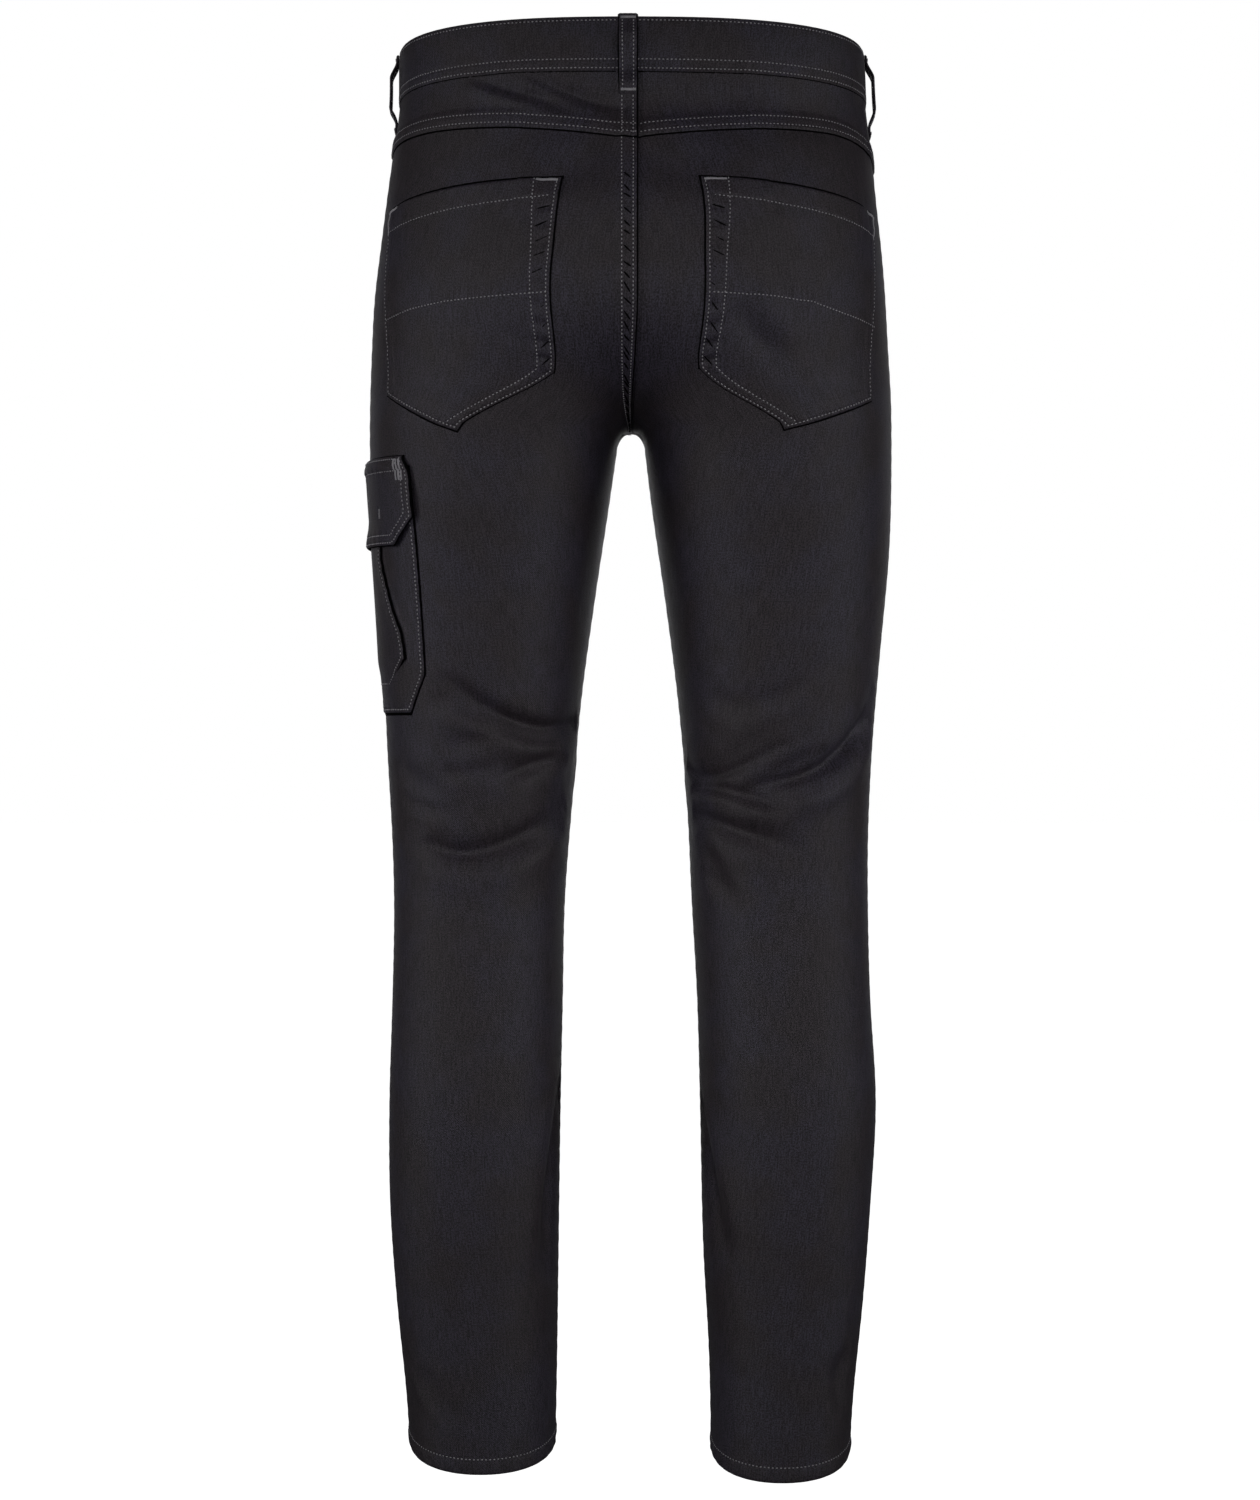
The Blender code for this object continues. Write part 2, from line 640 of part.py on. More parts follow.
def make_back_pocket(form, top_inner, top_outer, low_inner, low_outer, tip):
    """Patch pocket with a pointed lower edge, laid on the back panel."""
    span = low_inner[0] - low_outer[0]
    tip_share = (low_inner[0] - tip[0]) / span

    def place(a, b, c):
        top = top_inner[1] + (top_outer[1] - top_inner[1]) * a - POCKET_RISE * math.sin(math.pi * a)
        if a < tip_share:
            low = low_inner[1] + (tip[1] - low_inner[1]) * a / tip_share
        else:
            low = tip[1] + (low_outer[1] - tip[1]) * (a - tip_share) / (1 - tip_share)
        drop = top + (low - top) * b
        inner = top_inner[0] + (low_inner[0] - top_inner[0]) * b + POCKET_SWELL * math.sin(math.pi * b)
        outer = top_outer[0] + (low_outer[0] - top_outer[0]) * b
        girth = inner + (outer - inner) * a
        return form.at(girth, drop, LAY_GAP + CLOTH * c)

    cut_and_wrap(f"back_pocket_{form.side}", POCKET_GRID, place)


def cut_corner_edge(a, half, cut, bottom):
    """Lower edge of a patch with cut corners, at a share a across it."""
    from_edge = half * min(2 * a, 2 - 2 * a)
    return bottom - cut[1] * max(0, 1 - from_edge / cut[0])


def make_leg_pocket(form):
    """Patch, shaped overlay and flap round the side seam of one thigh."""
    def place_patch(a, b, c):
        bottom = cut_corner_edge(a, LEG_POCKET_HALF_LOW, LEG_POCKET_CUT, LEG_POCKET_BOTTOM)
        drop = LEG_POCKET_TOP + (bottom - LEG_POCKET_TOP) * b
        half = LEG_POCKET_HALF_TOP + (LEG_POCKET_HALF_LOW - LEG_POCKET_HALF_TOP) * b
        girth = LEG_POCKET_MIDDLE + half * (2 * a - 1)
        return form.at(girth, drop, LAY_GAP + LEG_POCKET_THICK * c)

    def place_overlay(a, b, c):
        bottom = cut_corner_edge(a, OVERLAY_HALF_LOW, OVERLAY_CUT, OVERLAY_BOTTOM)
        drop = OVERLAY_TOP + (bottom - OVERLAY_TOP) * b
        half = OVERLAY_HALF_TOP + (OVERLAY_HALF_LOW - OVERLAY_HALF_TOP) * b ** OVERLAY_CURVE
        girth = OVERLAY_MIDDLE + half * (2 * a - 1)
        lift = 2 * LAY_GAP + LEG_POCKET_THICK
        return form.at(girth, drop, lift + LEG_POCKET_THICK * c)

    def place_flap(a, b, c):
        bottom = cut_corner_edge(a, FLAP_HALF, FLAP_CUT, FLAP_BOTTOM)
        drop = FLAP_TOP + (bottom - FLAP_TOP) * b
        girth = LEG_POCKET_MIDDLE + FLAP_HALF * (2 * a - 1)
        lift = float(np.interp(drop, FLAP_LIFT_DROPS, FLAP_LIFTS))
        return form.at(girth, drop, lift + FLAP_THICK * c)

    cut_and_wrap("leg_pocket", LEG_POCKET_GRID, place_patch)
    cut_and_wrap("leg_pocket_overlay", OVERLAY_GRID, place_overlay)
    cut_and_wrap("leg_pocket_flap", FLAP_GRID, place_flap)


def main():
    clear_scene()
    forms = {side: Form(side) for side in SIDES}
    make_waistband(forms)
    for form in forms.values():
        make_yoke(form)
        make_panel(form, "back")
        make_panel(form, "front")
        make_facing(form)
    for side, *corners in POCKETS:
        make_back_pocket(forms[side], *corners)
    make_leg_pocket(forms["left"])
    for loop in LOOPS:
        make_belt_loop(forms, *loop)
    make_fly(forms)
    make_button(forms)


main()
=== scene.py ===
"""Black stretch twill jeans with a leg pocket, filled out as when worn, seen from the back.

Lengths of the cloth are in millimetres until a mesh is finished. A place on the cloth has a
girth (millimetres round from the side seam, negative to the front) and a drop (millimetres
down from the waistline, along the side seam). +X is the wearer's left, +Y is behind.
"""
import math

import bmesh
import bpy
import numpy as np
from mathutils import Matrix, Vector


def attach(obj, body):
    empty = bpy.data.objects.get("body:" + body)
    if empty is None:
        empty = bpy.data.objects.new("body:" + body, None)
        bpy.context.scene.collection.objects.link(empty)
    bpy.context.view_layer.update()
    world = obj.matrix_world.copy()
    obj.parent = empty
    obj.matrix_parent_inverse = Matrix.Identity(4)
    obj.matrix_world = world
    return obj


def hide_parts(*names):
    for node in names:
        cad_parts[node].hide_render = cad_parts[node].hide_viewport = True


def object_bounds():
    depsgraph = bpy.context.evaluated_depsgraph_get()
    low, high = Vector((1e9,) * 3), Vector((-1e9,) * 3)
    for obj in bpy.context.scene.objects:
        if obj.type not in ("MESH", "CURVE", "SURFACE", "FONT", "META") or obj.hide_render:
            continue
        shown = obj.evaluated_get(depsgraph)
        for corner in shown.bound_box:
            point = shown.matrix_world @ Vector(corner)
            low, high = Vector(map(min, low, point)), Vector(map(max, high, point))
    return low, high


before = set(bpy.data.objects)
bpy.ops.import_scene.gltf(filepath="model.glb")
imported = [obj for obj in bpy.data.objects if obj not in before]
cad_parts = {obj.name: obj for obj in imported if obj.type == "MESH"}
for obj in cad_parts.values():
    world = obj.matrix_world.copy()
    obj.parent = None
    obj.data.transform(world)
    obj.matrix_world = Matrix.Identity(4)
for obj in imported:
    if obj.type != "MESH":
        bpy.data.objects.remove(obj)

cad_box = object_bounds()

# ---------------------------------------------------------------- studio
# The photograph is a cut-out: a long lens, level with the knees, looks straight at the back.
# Soft boxes at the height of the hips stand all round, most of them in a wide arc behind, so that
# the gloss is even from side to side and the hollows dark. Grids let it fall off up and down.
VIEW_HIGH = 1.0995      # metres of the garment's plane that the picture's height takes in
VIEW_FROM = 3.2         # metres from the garment's middle to the lens
VIEW_ASIDE, VIEW_LEVEL = 0.000733, -0.5131
SENSOR_HIGH = 24        # millimetres
LAMP_FROM = 3           # metres from each soft box to the place that it is aimed at
LAMP_AIM = Vector((0, 0, -0.5))         # between the knees
GRID_SPREAD = 42        # degrees


def put_in_scene(name, data):
    """An object of the scene that shows a camera, a lamp or a mesh."""
    thing = bpy.data.objects.new(name, data)
    bpy.context.scene.collection.objects.link(thing)
    return thing


camera_data = bpy.data.cameras.new("camera")
camera_data.sensor_fit = "VERTICAL"
camera_data.sensor_height = SENSOR_HIGH
camera_data.lens = SENSOR_HIGH * VIEW_FROM / VIEW_HIGH
camera = put_in_scene("camera", camera_data)
camera.location = (VIEW_ASIDE, VIEW_FROM, VIEW_LEVEL)
camera.rotation_euler = (math.pi / 2, 0, math.pi)
bpy.context.scene.camera = camera
bpy.context.scene.view_settings.view_transform = "Standard"


def soft_box(name, turned, raised, size, watts):
    """A round soft box, turned from straight behind and raised by degrees."""
    data = bpy.data.lights.new(name, "AREA")
    data.shape = "DISK"
    data.size = size
    data.energy = watts
    data.spread = math.radians(GRID_SPREAD)
    lamp = put_in_scene(name, data)
    turned, raised = math.radians(turned), math.radians(raised)
    level, rise = LAMP_FROM * math.cos(raised), LAMP_FROM * math.sin(raised)
    lamp.location = LAMP_AIM + Vector((level * math.sin(turned), level * math.cos(turned), rise))
    lamp.rotation_euler = (LAMP_AIM - lamp.location).to_track_quat("-Z", "Y").to_euler()


for name, turned, raised, size, watts in (
        ("behind", 0, 6, 1.3, 0.56), ("behind_left", 36, 7, 1.3, 0.57),
        ("behind_right", -36, 5, 1.3, 0.57), ("left", 72, 6, 1.3, 1.02),
        ("right", -72, 5, 1.3, 1.02), ("ahead", 180, 6, 1.6, 1.6),
        ("ahead_left", 158, 6, 1.3, 0.25), ("ahead_right", -158, 6, 1.3, 0.25)):
    soft_box(name + "_lamp", turned, raised, size, watts)


def linear(code):
    """Linear colour of an sRGB hex value, opaque."""
    parts = [int(code[place:place + 2], 16) / 255 for place in (0, 2, 4)]
    return [part / 12.92 if part <= 0.04045 else ((part + 0.055) / 1.055) ** 2.4
            for part in parts] + [1]


def set_inputs(node, **inputs):
    """Link or set a node's inputs by name, or by number as in i6."""
    for name, value in inputs.items():
        socket = node.inputs[int(name[1:]) if name[1:].isdigit() else name.replace("_", " ")]
        if isinstance(value, bpy.types.NodeSocket):
            node.id_data.links.new(value, socket)
        else:
            socket.default_value = value


def add_node(tree, kind, settings=(), **inputs):
    """Add a node, and set its properties and its inputs."""
    node = tree.nodes.new(kind)
    for name, value in dict(settings).items():
        setattr(node, name, value)
    set_inputs(node, **inputs)
    return node


# White all round for the camera, and only a dim glow for the cloth, as before a lit sweep.
sky = bpy.data.worlds.new("studio")
sky.use_nodes = True
sky.node_tree.nodes.clear()
seen = add_node(sky.node_tree, "ShaderNodeBackground", Color=(1, 1, 1, 1), Strength=1.0)
glow = add_node(sky.node_tree, "ShaderNodeBackground", Color=(0.94, 0.97, 1, 1), Strength=0.03)
ray = add_node(sky.node_tree, "ShaderNodeLightPath")
either = add_node(sky.node_tree, "ShaderNodeMixShader", i0=ray.outputs["Is Camera Ray"],
                  i1=glow.outputs[0], i2=seen.outputs[0])
add_node(sky.node_tree, "ShaderNodeOutputWorld", Surface=either.outputs[0])
bpy.context.scene.world = sky

# Floor: a white painted board, lit from within so that it stays as white as the photograph's
# paper. The hems hang just clear of it, as a wearer holds the garment up.
FLOOR_BELOW, FLOOR_HALF = 0.03, 30      # metres


def new_material(name, **inputs):
    """A material, its node tree and its shader."""
    material = bpy.data.materials.new(name)
    material.use_nodes = True
    shader = material.node_tree.nodes["Principled BSDF"]
    set_inputs(shader, **inputs)
    return material, material.node_tree, shader


def mesh_in_scene(name, bm, *materials):
    """An object from a finished bmesh."""
    mesh = bpy.data.meshes.new(name)
    bm.to_mesh(mesh)
    bm.free()
    mesh.shade_smooth()
    for material in materials:
        mesh.materials.append(material)
    return put_in_scene(name, mesh)


white_paint = new_material("white_painted_board", Base_Color=linear("f2f2f2"), Roughness=0.9,
                           Emission_Color=(1, 1, 1, 1), Emission_Strength=1.0)[0]
board = bmesh.new()
bmesh.ops.create_grid(board, x_segments=1, y_segments=1, size=FLOOR_HALF)
bmesh.ops.translate(board, verts=board.verts, vec=(0, 0, cad_box[0][2] - FLOOR_BELOW))
floor = mesh_in_scene("floor", board, white_paint)
floor.visible_diffuse = False
floor.visible_glossy = False

# ---------------------------------------------------------------- fronts and backs
# Two fronts and two backs, cut from black stretch cotton twill of about 360 g/m2. Side seams
# and inseams are sewn right side to right side; the seat seam is lapped and sewn twice.
# The body keeps the form of the CAD panels, worked out from the same sizes.
MM = 0.001              # metres
SIDES = ("left", "right")
OTHER = {"left": "right", "right": "left"}
WAIST_CENTRE = {"front": -29, "back": 6}    # height of the waistline at the centre
WAIST_SIDE = -7
WAIST_CURVE = {"front": 2.4, "back": 3.2}
WAIST_FADE = 190
# Columns: drop, half width left and right, cloth ahead of and behind the origin, side seam.
OUTLINE = np.array((
    (-10, 168.5, 169.0, 109, 109, 0), (0, 168.5, 169.5, 110, 111, 0),
    (40, 168.5, 171.0, 113, 117, 2), (75, 173.5, 175.5, 116, 123, 3),
    (110, 178.0, 178.5, 118, 132, 4), (147, 182.5, 182.5, 119, 140, 4),
    (183, 187.0, 185.5, 119, 144, 3), (220, 189.0, 187.5, 117, 140, 1),
    (257, 190.5, 190.0, 114, 130, -2), (293, 191.0, 190.5, 111, 118, -4),
    (367, 186.0, 189.0, 106, 101, -6), (440, 181.5, 182.5, 101, 88, -8),
    (513, 178.5, 176.5, 95, 76, -10), (586, 174.5, 173.5, 87, 67, -10),
    (623, 173.5, 173.5, 82, 66, -9), (696, 174.5, 175.0, 73, 70, -4),
    (770, 176.5, 179.0, 66, 74, 0), (843, 176.0, 175.0, 62, 71, 1),
    (916, 171.0, 169.5, 61, 65, 0), (990, 163.5, 162.0, 62, 62, -1),
    (1060, 160.0, 158.5, 63, 61, -1)), float)
# Columns: drop, inner side of the left and of the right leg.
INSEAM = np.array((
    (289, 9.6, 9.6), (330, 15.5, 14.5), (403, 26.5, 25), (477, 36.5, 34.5), (550, 43, 41),
    (623, 48.5, 44.5), (696, 50, 48.5), (770, 51.5, 50.5), (880, 53, 53), (953, 54, 57),
    (1060, 56, 59)), float)
CROTCH = 281
ARC_START = {"front": 215, "back": 178}
CROTCH_HALF_WIDE = 9.6
CROTCH_ROUND = 8
CROTCH_ARCH = 1.6       # height of the flat arch between the legs
CROTCH_FLAT = 0.35      # power by which the arch opens: the less, the squarer its corners
LEG_BLEND = (185, 345)
BLEND_REACH = 0.45
SETTLE_TURNS = 60
SETTLE_REACH = 0.14
HIP_SQUARE = 2.35
LEG_SQUARE = 2.2
FORM_TOP, FORM_BOTTOM, FORM_STEP = -12, 1060, 2
FORM_COLUMNS = 112
RAYS = 161
DROPS = np.arange(FORM_TOP, FORM_BOTTOM + FORM_STEP, FORM_STEP, dtype=float)


def ease(share):
    share = np.clip(share, 0, 1)
    return share * share * (3 - 2 * share)


def bump(distance, width):
    """A rounded ridge, 1 at its middle."""
    return np.exp(-(distance / width) ** 2)


def look_up(table, column, drop):
    """A column's value at a drop, on a smooth curve through the table's rows."""
    drops, values = table[:, 0], table[:, column]
    slopes = np.gradient(values, drops)
    row = int(np.clip(np.searchsorted(drops, drop) - 1, 0, len(drops) - 2))
    gap = drops[row + 1] - drops[row]
    share = (drop - drops[row]) / gap
    near = (1 + 2 * share) * (1 - share) ** 2 * values[row]
    far = share ** 2 * (3 - 2 * share) * values[row + 1]
    lean = share * (1 - share) ** 2 * slopes[row] - share ** 2 * (1 - share) * slopes[row + 1]
    return near + far + gap * lean


def run_along(points):
    """Length of a line up to each of its points."""
    return np.concatenate(([0], np.cumsum(np.linalg.norm(np.diff(points, axis=0), axis=1))))


def spaced_evenly(x, y):
    run = run_along(np.stack([x, y], axis=1))
    even = np.linspace(0, run[-1], FORM_COLUMNS + 1)
    return np.stack([np.interp(even, run, x), np.interp(even, run, y)], axis=1)


def half_ring(side, half, drop):
    """The form at one drop, from the centre seam or inseam to the side seam."""
    way = -1 if half == "front" else 1
    outer = look_up(OUTLINE, 1 + SIDES.index(side), drop)
    seam = look_up(OUTLINE, 5, drop)
    depth = look_up(OUTLINE, 3 if half == "front" else 4, drop) - way * seam
    start = ARC_START[half]
    arc = math.pi / 2 * np.clip((drop - start) / (CROTCH - start), 0, 1)
    under = math.pi / 2 * np.clip((drop - CROTCH) / CROTCH_ROUND, 0, 1)
    inner = CROTCH_HALF_WIDE * math.sin(under) ** CROTCH_FLAT
    end_height = -drop
    if drop > CROTCH + CROTCH_ROUND:
        inner = look_up(INSEAM, 1 + SIDES.index(side), drop)
    elif drop > CROTCH:
        end_height = -CROTCH - CROTCH_ARCH * (1 - math.cos(under))
    elif drop > start:
        end_height = -start - (CROTCH - start) * math.sin(arc)
    shares = np.linspace(0, 1, FORM_COLUMNS + 1)
    from_end = ease(shares / BLEND_REACH)
    middle = ease((drop - LEG_BLEND[0]) / (LEG_BLEND[1] - LEG_BLEND[0]))
    blend = (1 - math.cos(arc)) * (1 - from_end) + middle * from_end
    angle = np.linspace(0, math.pi / 2, RAYS)
    hip = spaced_evenly(outer * np.sin(angle) ** (2 / HIP_SQUARE),
                        seam + way * depth * np.cos(angle).clip(0) ** (2 / HIP_SQUARE))
    turn = np.cos(2 * angle)
    reach = np.sign(turn) * np.abs(turn) ** (2 / LEG_SQUARE)
    leg = spaced_evenly((inner + outer) / 2 - (outer - inner) / 2 * reach,
                        seam + way * depth * np.sin(2 * angle).clip(0) ** (2 / LEG_SQUARE))
    centre = WAIST_CENTRE[half]
    rise = centre + (WAIST_SIDE - centre) * shares ** WAIST_CURVE[half]
    height = -drop + (end_height + drop) * (1 - shares) ** 2
    height = height + rise * (1 - ease(drop / WAIST_FADE))
    return np.column_stack([hip + (leg - hip) * blend[:, None], height])


# Creases pressed into the form. Columns: side, the three points that the crease runs through as
# girth and drop, half width, depth (a negative one stands out), and the ridge beside it as a
# share of the depth, on the right of the way from start to end, or on the left if negative.
CREASES = (
    # Back of the left knee: one deep fold, a long one below it and softer ones between.
    ("left", (105, 458), (162, 498), (236, 492), 8, 7.3, 0.35),
    ("left", (112, 462), (160, 494), (226, 491), 3, 3.8, 0.5),
    ("left", (88, 478), (110, 481), (131, 492), 8, 2.7, 0.2),
    ("left", (101, 513), (125, 506), (149, 502), 6, 1.7, 0.3),
    ("left", (90, 528), (119, 529), (149, 518), 5, 1.7, 0.3),
    ("left", (130, 538), (164, 525), (204, 517), 7, 3.4, 0.35),
    ("left", (134, 537), (164, 524), (198, 517), 3.5, 2.2, 0.4),
    ("left", (50, 524), (70, 535), (94, 545), 9, 2.4, 0.35),
    ("left", (47, 545), (73, 554), (99, 558), 5, 2.2, 0.3),
    ("left", (75, 575), (116, 587), (204, 549), 10, 5.5, 0.35),
    ("left", (72, 577), (114, 586), (176, 561), 4, 2.8, 0.4),
    ("left", (132, 588), (161, 576), (198, 569), 7, 1.8, 0.3),
    # Inner calf: the cloth stands in beside a soft edge.
    ("left", (214, 752), (187, 812), (160, 900), 11, 7, 0.3),
    ("left", (203, 736), (166, 784), (141, 852), 3.0, -0.7, 0.0),
    ("left", (174, 943), (162, 952), (147, 962), 3.0, -0.8, 0.0),
    ("left", (24, 950), (41, 977), (60, 998), 3.5, -0.7, 0.0),
    ("left", (52, 960), (62, 980), (76, 1000), 8, 1.4, 0.0),
    # Back of the right knee: two deep folds meet near the inseam, softer ones fan below.
    ("right", (34, 487), (88, 527), (152, 540), 10, 8, 0.35),
    ("right", (44, 497), (92, 528), (150, 539), 3.5, 3.8, 0.5),
    ("right", (34, 466), (46, 492), (60, 512), 13, 2.7, 0),
    ("right", (119, 507), (170, 532), (222, 524), 8, 3.7, 0.35),
    ("right", (118, 505), (174, 532), (222, 523), 2.6, 3.0, 0.5),
    ("right", (112, 557), (150, 546), (208, 541), 8, 3.4, 0.35),
    ("right", (110, 559), (156, 544), (206, 540), 3.5, 3.2, 0.5),
    ("right", (98, 588), (150, 572), (204, 558), 9, 3.9, 0.35),
    ("right", (122, 580), (164, 567), (204, 557), 4, 2.4, 0.3),
    ("right", (101, 591), (124, 577), (147, 565), 7, 1.5, 0.3),
    ("right", (190, 572), (166, 600), (143, 632), 7, 2.6, 0.3),
    ("right", (156, 618), (170, 608), (184, 599), 5, 1.8, 0.3),
    ("right", (36, 489), (58, 508), (84, 523), 7, 3.4, 0.3),
    ("right", (98, 446), (134, 476), (162, 468), 7, 1.8, 0.3),
    ("right", (143, 488), (164, 483), (188, 471), 7, 2, 0.3),
    ("right", (129, 499), (161, 518), (191, 527), 8, 1.6, 0.2),
    ("right", (92, 510), (112, 522), (134, 530), 5, 2.6, 0.4),
    # The small of the back stands in under the waistband, and the seat fills the cloth below.
    ("left", (160, 57), (258, 57), (356, 57), 22, 7.5, 0.0),
    ("right", (150, 57), (258, 57), (366, 57), 22, 7.5, 0.0),
    ("right", (30, 60), (120, 59), (224, 58), 21, 6.0, 0.0),
    ("left", (170, 134), (258, 132), (346, 134), 30, -4.5, 0.0),
    ("right", (150, 134), (258, 132), (366, 134), 30, -4.5, 0.0),
    ("right", (60, 138), (130, 136), (210, 134), 32, -2.5, 0.0),
    # Seat: soft wrinkles of the left yoke and of both pockets.
    ("left", (112, 37), (155, 52), (198, 62), 4, 3.2, 0.5),
    ("left", (156, 38), (198, 55), (240, 64), 4.2, 3.0, 0.5),
    ("left", (184, 118), (210, 104), (238, 88), 13, 2.0, 0.0),
    ("left", (172, 210), (181, 214), (191, 217), 3.5, 0.8, 0.4),
    ("right", (190, 194), (171, 215), (146, 232), 9, 4.2, 0.4),
    ("right", (156, 172), (146, 186), (128, 200), 5, -1.3, 0.0),
    ("right", (122, 44), (150, 50), (186, 55), 7, 0.9, 0.4),
    ("right", (192, 92), (222, 103), (246, 88), 14, 2.2, 0.0),
    # Inner calf, and the dent above the right hem.
    ("right", (212, 768), (186, 815), (148, 885), 10, 6, 0.3),
    ("right", (206, 734), (193, 768), (166, 800), 3.0, -0.7, 0.0),
    ("right", (30, 884), (46, 909), (48, 936), 3.0, -0.8, 0.0),
    ("right", (27, 941), (58, 947), (83, 964), 3.0, -0.9, 0.0),
    ("right", (38, 950), (48, 966), (38, 990), 9, 4.2, 0.0),
    # Fronts: softer folds across the thigh and knee, of the same sizes.
    ("left", (-160, 486), (-96, 499), (-40, 478), 11, 3.0, 0.35),
    ("left", (-120, 520), (-188, 523), (-236, 497), 11, 3.5, -0.35),
    ("left", (-176, 566), (-112, 588), (-60, 574), 12, 2.5, 0.35),
    ("left", (-226, 516), (-180, 521), (-132, 517), 4, 0.9, 0.4),
    ("left", (-150, 540), (-108, 548), (-66, 538), 6, 1.1, 0.3),
    ("right", (-150, 505), (-84, 512), (-36, 486), 12, 3.5, 0.35),
    ("right", (-112, 548), (-180, 538), (-232, 512), 11, 3.0, -0.35),
    ("right", (-184, 578), (-126, 597), (-70, 590), 12, 2.5, 0.35),
    ("right", (-134, 508), (-86, 512), (-46, 494), 4, 1.0, 0.4),
    ("right", (-206, 560), (-160, 566), (-112, 560), 6, 1.1, 0.3),
    # Fronts: whiskers that spread from the crotch over the hip, and the bend of the shin.
    ("left", (-214, 268), (-160, 246), (-96, 236), 8, 1.6, 0.3),
    ("left", (-222, 292), (-168, 286), (-110, 290), 7, 1.3, 0.3),
    ("left", (-228, 250), (-190, 214), (-150, 190), 9, 1.3, 0.3),
    ("left", (-196, 330), (-150, 340), (-108, 332), 8, 0.9, 0.3),
    ("left", (-170, 760), (-140, 800), (-96, 822), 10, 1.4, 0.2),
    ("right", (-216, 262), (-166, 250), (-104, 222), 8, 1.5, 0.3),
    ("right", (-224, 290), (-174, 294), (-118, 300), 8, 1.4, 0.3),
    ("right", (-226, 246), (-196, 220), (-142, 204), 7, 1.1, 0.3),
    ("right", (-200, 338), (-152, 352), (-104, 350), 9, 0.9, 0.3),
    ("right", (-176, 744), (-138, 774), (-92, 786), 10, 1.3, 0.2),
)
CREASE_STEPS = 33
CREASE_REACH = 3.4      # half widths from its middle at which a crease has died out
CREASE_TAPER = 0.6      # power by which it fades in at its ends
RIDGE_ASIDE = 1.8       # half widths from its middle to the ridge


def crease_height(girths, drops, start, middle, end, width, depth, ridge):
    """How far one crease moves each place of the form."""
    start, middle, end = (np.array(point, float) for point in (start, middle, end))
    along = np.linspace(0, 1, CREASE_STEPS)[:, None]
    pull = 2 * middle - (start + end) / 2
    curve = start * (1 - along) ** 2 + pull * 2 * along * (1 - along) + end * along ** 2
    heading = np.gradient(curve, axis=0)
    heading /= np.linalg.norm(heading, axis=1, keepdims=True)
    reach = CREASE_REACH * width
    height = np.zeros(girths.shape)
    low, high = curve.min(axis=0) - reach, curve.max(axis=0) + reach
    near = (girths > low[0]) & (girths < high[0]) & (drops > low[1]) & (drops < high[1])
    place = np.stack([girths[near], drops[near]], axis=-1)
    away = place[:, None, :] - curve
    closest = np.argmin((away ** 2).sum(-1), axis=1)
    gap = away[np.arange(len(place)), closest]
    tangent = heading[closest]
    right = tangent[:, 0] * gap[:, 1] - tangent[:, 1] * gap[:, 0]
    distance = np.hypot(gap[:, 0], gap[:, 1]) * np.where(right >= 0, 1, -1) / width
    taper = np.sin(math.pi * closest / (CREASE_STEPS - 1)) ** CREASE_TAPER
    side = 1 if ridge >= 0 else -1
    beside = abs(ridge) * bump(distance * side - RIDGE_ASIDE, 1)
    height[near] = depth * taper * (beside - bump(distance, 1))
    return height


def measure(points):
    """Normals of the form, and the girth of the front half and the back half of each row."""
    before, after = np.roll(points, 1, axis=1), np.roll(points, -1, axis=1)
    leg = DROPS > CROTCH
    mirrored = np.array([-1, 1, 1])
    before[leg, 0], after[leg, -1] = points[leg, -2], points[leg, 1]
    before[~leg, 0], after[~leg, -1] = points[~leg, 1] * mirrored, points[~leg, -2] * mirrored
    normals = np.cross(np.gradient(points, axis=0), after - before)
    normals /= np.linalg.norm(normals, axis=2, keepdims=True)
    steps = np.linalg.norm(np.diff(points, axis=1), axis=2)
    return normals, {"front": steps[:, :FORM_COLUMNS].sum(axis=1),
                     "back": steps[:, FORM_COLUMNS:].sum(axis=1)}


def make_form(side):
    points = np.array([np.concatenate([half_ring(side, "front", drop),
                                       half_ring(side, "back", drop)[-2::-1]]) for drop in DROPS])
    shares = np.linspace(-1, 1, 2 * FORM_COLUMNS + 1)
    free = ease((1 - np.abs(shares)) / SETTLE_REACH)[None, :, None]
    for _ in range(SETTLE_TURNS):
        points[1:-1] += free * ((points[:-2] + points[2:]) / 2 - points[1:-1]) / 2
    normals, girth = measure(points)
    girths = (girth["front"][:, None] * shares.clip(max=0)
              + girth["back"][:, None] * shares.clip(min=0))
    drops = np.repeat(DROPS[:, None], len(shares), axis=1)
    move = sum(crease_height(girths, drops, *row[1:]) for row in CREASES if row[0] == side)
    points = points + normals * move[..., None]
    normals, girth = measure(points)
    return {"points": points, "normals": normals, **girth}


FORMS = {side: make_form(side) for side in SIDES}


def half_girth(side, half, drop):
    return np.interp(drop, DROPS, FORMS[side][half])


def on_form(side, girth, drop, lift):
    form = FORMS[side]
    whole = np.where(girth >= 0, half_girth(side, "back", drop), half_girth(side, "front", drop))
    column = (FORM_COLUMNS * (1 + np.clip(girth / whole, -1, 1))).clip(max=2 * FORM_COLUMNS - 1e-6)
    row = ((drop - FORM_TOP) / FORM_STEP).clip(0, len(DROPS) - 1.001)
    i, j = row.astype(int), column.astype(int)
    down, across = (row - i)[:, None], (column - j)[:, None]
    found = []
    for table in (form["points"], form["normals"]):
        upper = table[i, j] * (1 - across) + table[i, j + 1] * across
        lower = table[i + 1, j] * (1 - across) + table[i + 1, j + 1] * across
        found.append(upper * (1 - down) + lower * down)
    point, normal = found
    point = point + normal / np.linalg.norm(normal, axis=1, keepdims=True) * lift[:, None]
    return point * ((-1, 1, 1) if side == "right" else (1, 1, 1))


